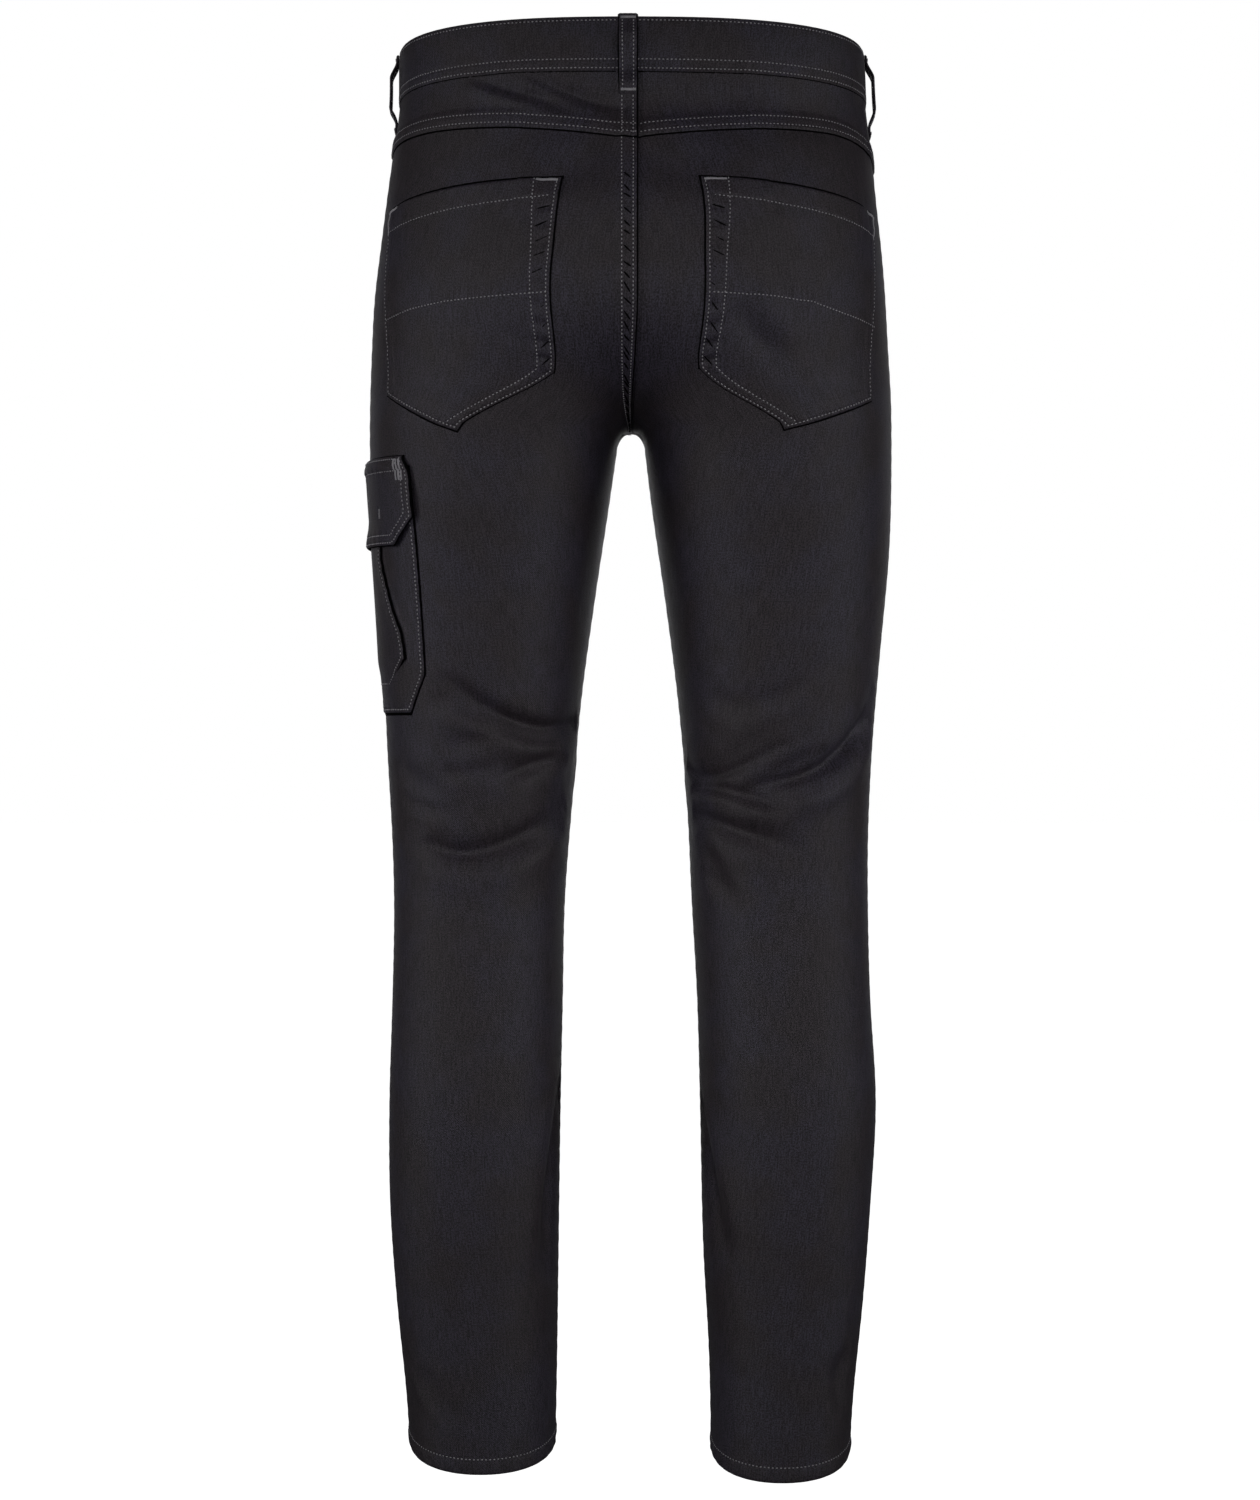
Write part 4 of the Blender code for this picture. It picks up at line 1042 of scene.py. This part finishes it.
# ---------------------------------------------------------------- back pockets
# Two patch pockets of the same twill. The top edge is turned down twice and sewn, the others
# are turned under and topstitched to the back, and bar tacks hold the two top corners.
# Corners as girth and drop: both ends of the top edge, both lower corners, and the tip.
POCKETS = {
    "left": ((201.5, 113), (49, 125), (205.5, 235), (74, 258), (151, 287)),
    "right": ((203, 113), (49, 128), (211, 231), (79, 262), (167, 286)),
}
POCKET_WIDE = 150       # about
POCKET_RISE, POCKET_SWELL = 2.5, 4.5    # bows of the top edge and of the inner side
POCKET_HEM = (13.0, 17.5)       # depth of the turned top edge, at its inner and outer end
POCKET_EDGE_ROW = 2.4
POCKET_INNER_ROW = (19, 12.5)   # the second row on the inner side, at its top and bottom
POCKET_LOWER_ROW = 9.5
# Where the pocket bag inside is caught in a row across the pocket.
POCKET_CROSS = {
    "left": ((207, 188), (167, 191), (130, 194), (100, 198), (74, 203), (64, 205)),
    "right": ((208, 188), (174, 190), (135, 194), (106, 201), (76, 207), (66, 209)),
}
POCKET_LIFT = 1.55
# Bar tacks: which corner of the top edge, then both ends from it as girth and drop.
POCKET_TACKS = (
    (0, (-1.5, 2.3), (-17.5, 1.8)), (1, (1.5, 2.2), (16, -0.5)), (1, (2.4, 3), (5.2, 18)),
)
# Painted shade of the nips between the two rows of the inner side, laid as dark beads: share down of
# the first, the end and the pitch.
POCKET_NIPS = (0.16, 0.94, 0.082)
TACK_WIDE, TACK_PITCH = 2.2, 0.72
TACK_SEWN = {"long": TACK_WIDE, "gap": 0.05, "wide": 0.85}
FOLD_WIDE = 1.4         # a turned edge rolls down over this width
CRACK_DEEP = 1.6        # how far the crack beside it lies below the cloth's top


def dense(corners, step=ROW_STEP):
    """Points at even steps along straight stretches."""
    corners = np.array(corners, float)
    parts = [np.linspace(start, end, max(2, round(math.dist(start, end) / step)))[:-1]
             for start, end in zip(corners[:-1], corners[1:])]
    return np.concatenate(parts + [corners[-1:]])


def near(girth, drop, line):
    """Distance of each place from a line on the cloth, and how far along the line that is."""
    line = np.array(line, float)
    span = np.diff(line, axis=0)
    long = np.linalg.norm(span, axis=1)
    place = np.stack([girth, drop], axis=-1)[:, None, :] - line[:-1]
    share = ((place * span).sum(-1) / long ** 2).clip(0, 1)
    gap = np.linalg.norm(place - share[..., None] * span, axis=2)
    closest = np.argmin(gap, axis=1)
    row = np.arange(len(gap))
    return gap[row, closest], run_along(line)[closest] + share[row, closest] * long[closest]


def inset(corners, distances):
    """Corners moved into the piece, by a distance from each side between them."""
    corners, distances = np.array(corners, float), np.array(distances, float)
    heading = np.diff(corners, axis=0)
    heading /= np.linalg.norm(heading, axis=1, keepdims=True)
    normal = np.stack([-heading[:, 1], heading[:, 0]], axis=1)
    normal *= np.sign(((corners.mean(axis=0) - corners[:-1]) * normal).sum(axis=1))[:, None]
    moved = [corners[0] + normal[0] * distances[0]]
    for k in range(1, len(corners) - 1):
        sides = normal[k - 1:k + 1]
        moved.append(np.linalg.solve(sides, sides @ corners[k] + distances[k - 1:k + 1]))
    return np.array(moved + [corners[-1] + normal[-1] * distances[-1]])


def bowed(line, corner, bow):
    """A dense line with its stretch from the start to a corner bowed along the girth."""
    count = int(np.argmin(np.linalg.norm(line - corner, axis=1))) + 1
    line = line.copy()
    line[:count, 0] += bow * np.sin(math.pi * np.linspace(0, 1, count))
    return line


def with_crack(shares, wide=0.009):
    """Shares with one more step beyond each end, for the crack beside the edge, which is sunk and
    painted as shade.
    """
    return np.concatenate([[-wide], shares, [1 + wide]])


def sink(a, b, lift):
    """Lift of a patch whose places beyond the edge lie down in the crack, and which those are: they
    take the painted crack shade.
    """
    sunk_and_painted_shade = (np.abs(a - 0.5) > 0.5001) | (np.abs(b - 0.5) > 0.5001)
    return np.where(sunk_and_painted_shade, np.maximum(lift - CRACK_DEEP, CRACK_LIFT), lift), sunk_and_painted_shade


def sewn_down(girth, drop, rows, deep=0.4, pull=0.2):
    """Relief of rows of stitches: a groove along each, and the uneven pull beside it."""
    relief = 0 * girth
    for line in rows:
        distance, run = near(girth, drop, line)
        relief += pull * wander(run, 11.6, 2, 0.047) * bump(distance, 4.5)
        relief -= deep * bump(distance, 0.95)
    return relief


def row_along(side, line, lift, above=STITCH_LIFT):
    """A row along a line of girths and drops, on a piece whose relief is lift(girth, drop)."""
    girth, drop = line.T
    return row_on(side, girth, drop, lift(girth, drop) + above)


def bar_tack(side, start, end, lift):
    """Close stitches across a short bar, from start to end as girth and drop."""
    start, end = np.array(start, float), np.array(end, float)
    ahead = (end - start) / np.linalg.norm(end - start)
    over = np.array((-ahead[1], ahead[0])) * TACK_WIDE / 2
    return [row_along(side, start + ahead * place + np.array((-over, over)), lift, 0.35)
            for place in np.arange(0.3, np.linalg.norm(end - start), TACK_PITCH)]


def flat_area(sides, top):
    """Area inside the sides and the top edge of a patch, in square metres."""
    x, y = np.concatenate([sides, top[::-1]]).T
    return abs(float(np.dot(x, np.roll(y, 1)) - np.dot(y, np.roll(x, 1)))) / 2e6


def tip_share(side):
    """How far across its pocket the tip lies, from the inner side."""
    low_inner, low_outer, tip = POCKETS[side][2:]
    return (low_inner[0] - tip[0]) / (low_inner[0] - low_outer[0])


def pocket_place(side, a, b):
    """Girth and drop at a share a across from the inner side, and a share b down."""
    top_inner, top_outer, low_inner, low_outer, tip = POCKETS[side]
    top = top_inner[1] + (top_outer[1] - top_inner[1]) * a - POCKET_RISE * np.sin(math.pi * a)
    low = np.interp(a, (0, tip_share(side), 1), (low_inner[1], tip[1], low_outer[1]))
    inner = top_inner[0] + (low_inner[0] - top_inner[0]) * b + POCKET_SWELL * np.sin(math.pi * b)
    outer = top_outer[0] + (low_outer[0] - top_outer[0]) * b
    return inner + (outer - inner) * a, top + (low - top) * b


def pocket_lines(side):
    """Edges, rows and bar tacks of one pocket, as lines of girth and drop."""
    top_inner, top_outer, low_inner, low_outer, tip = POCKETS[side]
    round_it = (top_inner, low_inner, tip, low_outer, top_outer)
    first = inset(round_it, (POCKET_EDGE_ROW,) * 4)
    second = inset(round_it[:3], (POCKET_INNER_ROW[1], POCKET_LOWER_ROW))
    second[0] = top_inner[0] - POCKET_INNER_ROW[0], top_inner[1]
    a = np.linspace(0, 1, 40)
    top = np.stack(pocket_place(side, a, 0 * a), axis=1)
    hem = top + np.stack([0 * a, np.interp(a, (0, 1), POCKET_HEM)], axis=1)
    return {
        "sides": bowed(dense(round_it), low_inner, POCKET_SWELL),
        "top": top,
        "inner": bowed(dense((top_inner, low_inner)), low_inner, POCKET_SWELL),
        "rows": [bowed(dense(first), first[1], POCKET_SWELL),
                 bowed(dense(second), second[1], POCKET_SWELL + 1.5), hem[1:-1]],
        "cross": dense(POCKET_CROSS[side]),
        "tacks": [np.array((start, end)) + POCKETS[side][corner]
                  for corner, start, end in POCKET_TACKS],
    }


def pocket_lift(side, girth, drop):
    """Relief of a pocket: turned edges, loft, the gaping top, puckers, and what is sewn."""
    lines = POCKET_LINES[side]
    from_side = near(girth, drop, lines["sides"])[0]
    from_top = near(girth, drop, lines["top"])[0]
    from_inner, run = near(girth, drop, lines["inner"])
    edges = 1.1 * (rolled(from_side, FOLD_WIDE) + rolled(from_top, 1.2))
    hem_deep = np.interp(girth, (50, 200), POCKET_HEM[::-1])
    turned = 0.45 * within(from_side, 9, 2.5) + 0.5 * within(from_top, hem_deep, 2)
    loft = 1.1 * ease(from_side / 30) + 0.9 * ease(from_side / 45) * within(from_top, 0, 22)
    wave = (0.5 + 0.5 * np.cos(2 * math.pi * run / 11.5 + 1.2 * np.sin(run * 0.06))) ** 3
    pucker = 1.3 * wave * ease(from_inner / 4) * within(from_inner, 11, 6)
    pucker = pucker * ease((from_top - 10) / 8)
    tacks = 0.45 * sum(bump(near(girth, drop, tack)[0], 2.6) for tack in lines["tacks"])
    relief = sewn_down(girth, drop, lines["rows"], 0.5, 0.22)
    relief += sewn_down(girth, drop, [lines["cross"]], pull=0.12)
    return POCKET_LIFT + turned + loft - pucker - tacks - edges + relief


POCKET_LINES = {side: pocket_lines(side) for side in SIDES}
for side in SIDES:
    def pocket_shape(a, b):
        girth, drop = pocket_place(side, a, b)
        return side, girth, drop, *sink(a, b, pocket_lift(side, girth, drop))

    def lift(girth, drop):
        return pocket_lift(side, girth, drop)

    lines, turn = POCKET_LINES[side], tip_share(side)
    # The step beyond each edge is sunk and painted as shade: the painted shadow line round the pocket.
    across = np.concatenate([crowded(44, 0.5) * turn, turn + crowded(60, 0.5)[1:] * (1 - turn)])
    pocket = cloth_sheet(f"back_pocket_{side}_cloth", with_crack(across),
                         with_crack(crowded(112, 0.45)), pocket_shape, 1.3)
    finish_cloth(pocket, BLACK_TWILL, [f"back_pocket_{side}"],
                 flat_area(lines["sides"], lines["top"]))
    sew(f"back_pocket_{side}_stitches",
        [row_along(side, line, lift) for line in lines["rows"] + [lines["cross"]]])
    painted_nip_shade = []
    for number, b in enumerate(np.arange(*POCKET_NIPS)):
        inside = np.array((4.0, 11.2 + 2.5 * (1 - b))) + 0.8 * math.sin(number * 2.1)
        down = b + (0.004 + 0.008 * math.sin(number * 1.3)) * np.array((0, 1))
        line = np.stack(pocket_place(side, inside / POCKET_WIDE, down), axis=1)
        painted_nip_shade.append(row_along(side, line, lift, 0.1))
    sew(f"back_pocket_{side}_nips", painted_nip_shade, wide=1.25, **NIP_SHADE_SEWN)
    sew(f"back_pocket_{side}_bar_tacks",
        [row for tack in lines["tacks"] for row in bar_tack(side, *tack, lift)], **TACK_SEWN)

# ---------------------------------------------------------------- leg pocket
# A patch with turned edges round the wearer's left side seam, a shaped overlay whose sides stay
# open as bellows, and a lined flap that is sewn on above and hangs free below.
PATCH_MIDDLE, PATCH_TOP, PATCH_BOTTOM = 20, 312, 486
PATCH_HALF = (82, 71)           # half width at the top and at the bottom
PATCH_CUT = (17, 27)            # lower corners, cut off by this much across and up
PATCH_WALL, PATCH_LIFT = 1.2, 1.7
OVERLAY_MIDDLE, OVERLAY_TOP, OVERLAY_BOTTOM = 18, 359, 467
OVERLAY_HALF = ((359, 380, 403, 424, 447, 467), (38, 35, 41, 47.5, 56, 57))
OVERLAY_CUT = (26, 20)
OVERLAY_LIFT = 3.9
FLAP_TOP, FLAP_BOTTOM = 303, 365.5
FLAP_HALF, FLAP_TAPER = 82, 4
FLAP_CUT = (20, 19)
FLAP_WALL = 1.5
FLAP_BAND = 10.3                # from the top edge to the seam across the flap
FLAP_DROPS = (303, 309, 346, 356, 366)
FLAP_LIFTS = (2.3, 4.1, 4.5, 6.0, 6.6)
FLAP_ROWS = (1.8, 7.2)
FLAP_TACKS = (5.7, 8.7, 11.7)   # bar tacks at each upper corner, in from its side
PATCH_ROW, OVERLAY_ROW = 2.2, 2.0
SLIT = ((61, 339), (60, 346))   # buttonhole of a hidden fastening, as girth and drop


def smooth_interp(places, xs, ys):
    """Values on a smooth curve through a short table."""
    table = np.array((xs, ys), float).T
    return np.array([look_up(table, 1, place) for place in np.ravel(places)])


def cut_corner_edge(a, half, cut, bottom):
    """Drop of a lower edge with cut corners, at a share a across."""
    from_edge = half * np.minimum(2 * a, 2 - 2 * a)
    return bottom - cut[1] * (1 - from_edge / cut[0]).clip(0)


def patch_place(a, b):
    low = cut_corner_edge(a, PATCH_HALF[1], PATCH_CUT, PATCH_BOTTOM)
    half = PATCH_HALF[0] + (PATCH_HALF[1] - PATCH_HALF[0]) * b
    return PATCH_MIDDLE + half * (2 * a - 1), PATCH_TOP + (low - PATCH_TOP) * b


def overlay_place(a, b):
    low = cut_corner_edge(a, OVERLAY_HALF[1][-1], OVERLAY_CUT, OVERLAY_BOTTOM)
    half = smooth_interp(OVERLAY_TOP + (OVERLAY_BOTTOM - OVERLAY_TOP) * b, *OVERLAY_HALF)
    return OVERLAY_MIDDLE + half * (2 * a - 1), OVERLAY_TOP + (low - OVERLAY_TOP) * b


def flap_place(a, b):
    low = cut_corner_edge(a, FLAP_HALF, FLAP_CUT, FLAP_BOTTOM)
    half = FLAP_HALF - FLAP_TAPER * within(b, 0, 0.25) + 1.2 * np.sin(math.pi * b)
    return PATCH_MIDDLE + half * (2 * a - 1), FLAP_TOP + (low - FLAP_TOP) * b


def border(place):
    """The two sides and the bottom of a patch, as one dense line, and its top edge."""
    even = np.linspace(0, 1, 60)
    sides = np.concatenate([np.stack(place(0 * even, even), axis=1),
                            np.stack(place(even, 0 * even + 1), axis=1)[1:-1],
                            np.stack(place(0 * even + 1, even[::-1]), axis=1)])
    return sides, np.stack(place(even, 0 * even), axis=1)


def row_inside(line, distance):
    """A border line moved in by a distance, trimmed where it would fold back."""
    heading = np.gradient(line, axis=0)
    heading /= np.linalg.norm(heading, axis=1, keepdims=True).clip(1e-9)
    normal = np.stack([-heading[:, 1], heading[:, 0]], axis=1)
    normal *= np.sign(((line.mean(axis=0) - line) * normal).sum(axis=1).mean())
    moved = line + normal * distance
    clear = near(moved[:, 0], moved[:, 1], line)[0] > distance * 0.96
    return moved[clear]


PATCH_SIDES, OVERLAY_SIDES = border(patch_place)[0], border(overlay_place)[0]
FLAP_SIDES, FLAP_UPPER = border(flap_place)
PATCH_ROWS = [row_inside(PATCH_SIDES, PATCH_ROW)]
OVERLAY_ROWS = [row_inside(OVERLAY_SIDES, OVERLAY_ROW)]
FLAP_SEAM = FLAP_UPPER + (0, FLAP_BAND)
FLAP_LINES = [row_inside(FLAP_SIDES, row) for row in FLAP_ROWS]


def patch_lift(girth, drop):
    """Relief of the patch, with the bellows folded out beside the overlay."""
    inside = near(girth, drop, PATCH_SIDES)[0]
    fold = near(girth, drop, OVERLAY_SIDES)[0]
    outside = (np.abs(girth - OVERLAY_MIDDLE) > smooth_interp(drop, *OVERLAY_HALF)) & (drop < 452)
    bellows = outside * (0.9 * bump(fold - 3.4, 1.3) - 0.5 * bump(fold - 1.2, 1.2))
    bellows += 0.8 * ease((inside - 3) / 16)
    turned = 0.3 * within(inside, 8, 2.5) - rolled(inside, FOLD_WIDE)
    return PATCH_LIFT + turned + bellows + sewn_down(girth, drop, PATCH_ROWS)


def overlay_lift(girth, drop):
    """Relief of the overlay, whose sides stand off and whose bottom is sewn down."""
    inside = near(girth, drop, OVERLAY_SIDES)[0]
    stand = 1.3 * within(inside, 0, 14) * within(drop, 440, 22) + 0.6 * ease(inside / 25)
    stand -= 1.2 * ease((drop - 447) / 16) + rolled(inside, FOLD_WIDE)
    return OVERLAY_LIFT + stand + sewn_down(girth, drop, OVERLAY_ROWS)


def flap_lift(girth, drop):
    """Relief of the flap: its seam and band above, free edges that stand off, and the slit."""
    inside = near(girth, drop, FLAP_SIDES)[0]
    from_top = drop - FLAP_TOP
    edges = rolled(inside, FOLD_WIDE) + 0.8 * rolled(from_top, FOLD_WIDE)
    stand = 1.3 * within(inside, 0, 16) * ease((from_top - 12) / 20)
    stand += 0.8 * within(from_top, FLAP_BAND - 1, 1.6)
    corner = 0.6 * bump(np.abs(girth - PATCH_MIDDLE) - FLAP_HALF + 7, 6) * bump(from_top - 9, 9)
    dent = 0.7 * bump(near(girth, drop, SLIT)[0], 1.3)
    sewn = sewn_down(girth, drop, [FLAP_SEAM], 0.45, 0.28)
    sewn += sewn_down(girth, drop, FLAP_LINES, pull=0.22)
    return np.interp(drop, FLAP_DROPS, FLAP_LIFTS) + stand - edges - corner - dent + sewn


def leg_sheet(name, node, across, down, place, lift, wall):
    def shape(a, b):
        girth, drop = place(a, b)
        return "left", girth, drop, *sink(a, b, lift(girth, drop))

    # The step beyond each edge is sunk and painted as shade: the painted shadow line round the patch,
    # overlay and flap.
    sheet = cloth_sheet(name, with_crack(crowded(across, 0.5)),
                        with_crack(crowded(down, 0.4), 0.012), shape, wall)
    finish_cloth(sheet, BLACK_TWILL, [node], flat_area(*border(place)))


leg_sheet("leg_pocket_patch_cloth", "leg_pocket", 104, 104, patch_place, patch_lift, PATCH_WALL)
leg_sheet("leg_pocket_overlay_cloth", "leg_pocket_overlay", 72, 70, overlay_place, overlay_lift,
          PATCH_WALL)
leg_sheet("leg_pocket_flap_cloth", "leg_pocket_flap", 110, 50, flap_place, flap_lift, FLAP_WALL)

flap_rows = FLAP_LINES + [FLAP_SEAM[2:-2], FLAP_SEAM[2:-2] - (0, 8.3)]
sew("leg_pocket_stitches", [
    row_along("left", line, lift)
    for lines, lift in ((PATCH_ROWS, patch_lift), (OVERLAY_ROWS, overlay_lift), (flap_rows, flap_lift))
    for line in lines])
flap_tacks = []
for way in (-1, 1):
    for place in FLAP_TACKS:
        aside = PATCH_MIDDLE + way * (FLAP_HALF - place)
        ends = (aside, FLAP_TOP + 2), (aside + way * 1.5, FLAP_TOP + 17)
        flap_tacks += bar_tack("left", *ends, flap_lift)
sew("leg_pocket_bar_tacks", flap_tacks, **TACK_SEWN)
sew("leg_pocket_buttonhole", [row_along("left", dense(SLIT, 1.0) + (way, 0), flap_lift)
                              for way in (-0.9, 0.9)], long=0.55, gap=0.1, wide=1.2)

# ---------------------------------------------------------------- waistband
# One straight folded strip round the waist, 38 mm deep, its left end lapped over the right at
# the front. A row of stitching holds the top edge and two hold the lower one.
BAND_LIFT, BAND_WALL, BAND_LAP = 1.15, 2.6, 14
BAND_ROWS = (2.8, 30.0, 35.8)
BAND_END_ROW = 2.5              # the row down the lapped end, from that end
BAND_MIDDLE = 19                # drop at which runs round the band are measured
BAND_END = 905                  # run at which the long rows go under the lapped end


def waist_round(drop):
    return sum(half_girth(side, half, drop) for side in SIDES for half in ("front", "back"))


def band_girth(run, drop):
    """Girth from the wearer's left side seam, and what is left of the way round, at a run."""
    middle = waist_round(BAND_MIDDLE)
    return run * waist_round(drop) / middle - half_girth("left", "front", drop), middle - run


def band_lift(run, left, drop):
    """Relief of the band. Its right end goes down under the lapped left one."""
    crown = 0.35 * np.sin(math.pi * (drop / BAND_DEEP).clip(0, 1))
    edges = 0.9 * (rolled(drop, 2) + rolled(BAND_DEEP - drop, FOLD_WIDE))
    edges = edges + 0.7 * rolled(run + BAND_LAP, 1.5)
    ripple = 0.14 * wander(run, 10.3, 2, 0.05) * (bump(drop - 33, 5) + 0.5 * bump(drop - 3, 4))
    under = (BAND_WALL + 0.8) * ease((40 - left) / 26)
    return BAND_LIFT + crown - grooves(drop, BAND_ROWS, 0.42) - edges + ripple - under


def band_shape(a, d):
    run = -BAND_LAP + (waist_round(BAND_MIDDLE) + BAND_LAP) * a
    girth, left = band_girth(run, d)
    # The row below the lower edge lies sunk and takes the painted crack shade: a painted shadow line
    # under the band.
    sunk_and_painted_shade = d > BAND_DEEP
    return "left", girth, d, np.where(sunk_and_painted_shade, 0.2, band_lift(run, left, d)), sunk_and_painted_shade


band_down = np.append(np.linspace(0, BAND_DEEP - 0.15, 30), BAND_DEEP + 0.7)
band = cloth_sheet("waistband_cloth", np.linspace(0, 1, 470), band_down, band_shape, BAND_WALL)
finish_cloth(band, BLACK_TWILL, ["waistband"], None)


def band_row(run, drop):
    run, drop = np.broadcast_arrays(run, drop)
    girth, left = band_girth(run, drop)
    return row_on("left", girth, drop, band_lift(run, left, drop) + STITCH_LIFT)


band_start = -BAND_LAP + BAND_END_ROW
sew("waistband_stitches",
    [band_row(np.arange(band_start, BAND_END, ROW_STEP), drop) for drop in BAND_ROWS]
    + [band_row(band_start, np.arange(3.0, 36, 1.5))])

# ---------------------------------------------------------------- belt loops
# Five strips of twill, folded in three and sewn along both edges with a twin needle. Their ends
# are turned under and held by bar tacks above and below the waistband.
LOOP_WIDE, LOOP_THICK, LOOP_TOP = 12.5, 1.9, -1.5
LOOP_BASE, LOOP_GAP, LOOP_SWELL = 0.7, 5.5, 13
LOOP_SEWN = (4, 6)              # lengths sewn down at the top and at the bottom
LOOP_ROW = 2.3                  # from each long edge to its stitching
LOOP_TACK = 3                   # from each end to its bar tack
LOOP_ASIDE = 2.2                # the centre back loop sits this much to the left of the seam
LOOP_FOLD = 1.3
# Columns: name, side, girth of the loop's middle, drop of its lower end. The loop without a
# girth sits beside the centre back seam.
LOOPS = (
    ("back", "left", None, 53), ("side_left", "left", -1, 57), ("side_right", "right", -1, 60),
    ("front_left", "left", -146, 58), ("front_right", "right", -146, 58),
)


def loop_girth(side, middle, aside, drop):
    if middle is None:
        return half_girth(side, "back", drop) - aside - LOOP_ASIDE
    return middle + aside


def loop_lift(aside, drop, end):
    """Relief of a loop: it leaves the band below its top tack and comes back to it."""
    from_top, to_end, from_edge = drop - LOOP_TOP, end - drop, LOOP_WIDE / 2 - np.abs(aside)
    base = LOOP_BASE + np.interp(drop, (BAND_DEEP, BAND_DEEP + 6), (1.0, 0)) + LOOP_THICK
    away = ease((from_top - LOOP_SEWN[0]) / LOOP_SWELL) * ease((to_end - LOOP_SEWN[1]) / LOOP_SWELL)
    edges = 0.9 * rolled(from_edge, LOOP_FOLD)
    edges += 0.8 * (rolled(to_end, LOOP_FOLD) + rolled(from_top, LOOP_FOLD))
    sewn = 0.4 * bump(from_edge - LOOP_ROW, 0.8) + 0.25 * bump(aside, 2.2)
    sewn += 0.35 * (bump(from_top - LOOP_TACK, 1.6) + bump(to_end - LOOP_TACK, 1.6))
    return base + (LOOP_GAP - LOOP_BASE) * away - edges - sewn


loop_rows, loop_tacks = [], []
for name, side, middle, end in LOOPS:
    def loop_shape(a, d):
        aside = LOOP_WIDE * (a - 0.5)
        lift, sunk_and_painted_shade = sink(a, 0.5 + 0 * d, loop_lift(aside, d, end))
        return side, loop_girth(side, middle, aside, d), d, lift, sunk_and_painted_shade

    def loop_row(aside, drop, above):
        aside, drop = np.broadcast_arrays(aside, drop)
        return row_on(side, loop_girth(side, middle, aside, drop), drop,
                      loop_lift(aside, drop, end) + above)

    # The centre back loop gets one more strip beyond each long edge, sunk and painted as shade beside
    # it.
    across = crowded(20, 0.5) if middle else with_crack(crowded(20, 0.5), 0.08)
    loop = cloth_sheet(f"belt_loop_{name}_cloth", across, np.linspace(LOOP_TOP, end, 66),
                       loop_shape, LOOP_THICK - 0.25)
    finish_cloth(loop, BLACK_TWILL, [f"belt_loop_{name}"], None)
    for way in (-1, 1):
        aside = way * (LOOP_WIDE / 2 - LOOP_ROW)
        loop_rows.append(loop_row(aside, np.arange(LOOP_TOP + 1.2, end - 1, 1.5), STITCH_LIFT))
    for level in (LOOP_TOP + LOOP_TACK, end - LOOP_TACK):
        drop = np.array((level - TACK_WIDE / 2, level + TACK_WIDE / 2))
        loop_tacks += [loop_row(aside, drop, 0.4)
                       for aside in np.arange(-LOOP_WIDE / 2 + 1, LOOP_WIDE / 2 - 0.8, TACK_PITCH)]
sew("belt_loop_stitches", loop_rows)
sew("belt_loop_bar_tacks", loop_tacks, **TACK_SEWN)

# ---------------------------------------------------------------- waist button
# A shank button of plated brass: a pressed head with a raised rim round a dished middle. Its
# shank comes up through a buttonhole in the waistband's left end.
BUTTON_BASE = 1.7               # the back of the head, above the waistline's form
BUTTON_DROP, BUTTON_ASIDE = 20, 2
HOLE_LONG, HOLE_HALF = 24, 1.3
CLEAR_OF_LAP = 500              # a length of the way round that is left, past the lap
# Profile of the head, from its middle out over the rim to the back: radius and height.
BUTTON_PROFILE = (
    (0.0, 2.5), (1.2, 2.5), (1.7, 2.1), (2.3, 1.7), (3.4, 1.55), (5.3, 1.7), (6.2, 2.2), (6.7, 2.9),
    (7.2, 3.2), (7.9, 3.1), (8.4, 2.5), (8.5, 1.7), (8.2, 1.0), (7.4, 0.6), (4.5, 0.3), (3.0, 0.0),
)


def button_place(lift):
    drop = np.array((float(BUTTON_DROP),))
    return Vector(on_cloth("left", aside_girth(BUTTON_ASIDE, drop), drop, np.array((lift,)))[0])


base, tip = button_place(BUTTON_BASE), button_place(BUTTON_BASE + 1)
head = bmesh.new()
chain = [head.verts.new((radius, 0, height)) for radius, height in BUTTON_PROFILE]
edges = [head.edges.new(pair) for pair in zip(chain[:-1], chain[1:])]
bmesh.ops.spin(head, geom=chain + edges, cent=(0, 0, 0), axis=(0, 0, 1), angle=2 * math.pi,
               steps=64, use_merge=True)
bmesh.ops.remove_doubles(head, verts=head.verts, dist=0.001)
bmesh.ops.recalc_face_normals(head, faces=head.faces)
turn = Vector((0, 0, 1)).rotation_difference(tip - base).to_matrix().to_4x4()
bmesh.ops.transform(head, verts=head.verts,
                    matrix=Matrix.Scale(MM, 4) @ Matrix.Translation(base) @ turn)
button = mesh_in_scene("waist_button_head", head, gunmetal)
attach(button, "root")
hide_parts("waist_button")

hole_rows = []
for way in (-HOLE_HALF, HOLE_HALF):
    run = np.linspace(BUTTON_ASIDE - 2, BUTTON_ASIDE + HOLE_LONG - 2, 30)
    drop = BUTTON_DROP + way + 0 * run
    lift = band_lift(run, CLEAR_OF_LAP, drop) + 0.2
    hole_rows.append(row_on("left", band_girth(run, drop)[0], drop, lift))
sew("buttonhole_stitches", hole_rows, long=0.6, gap=0.12, wide=1.9)
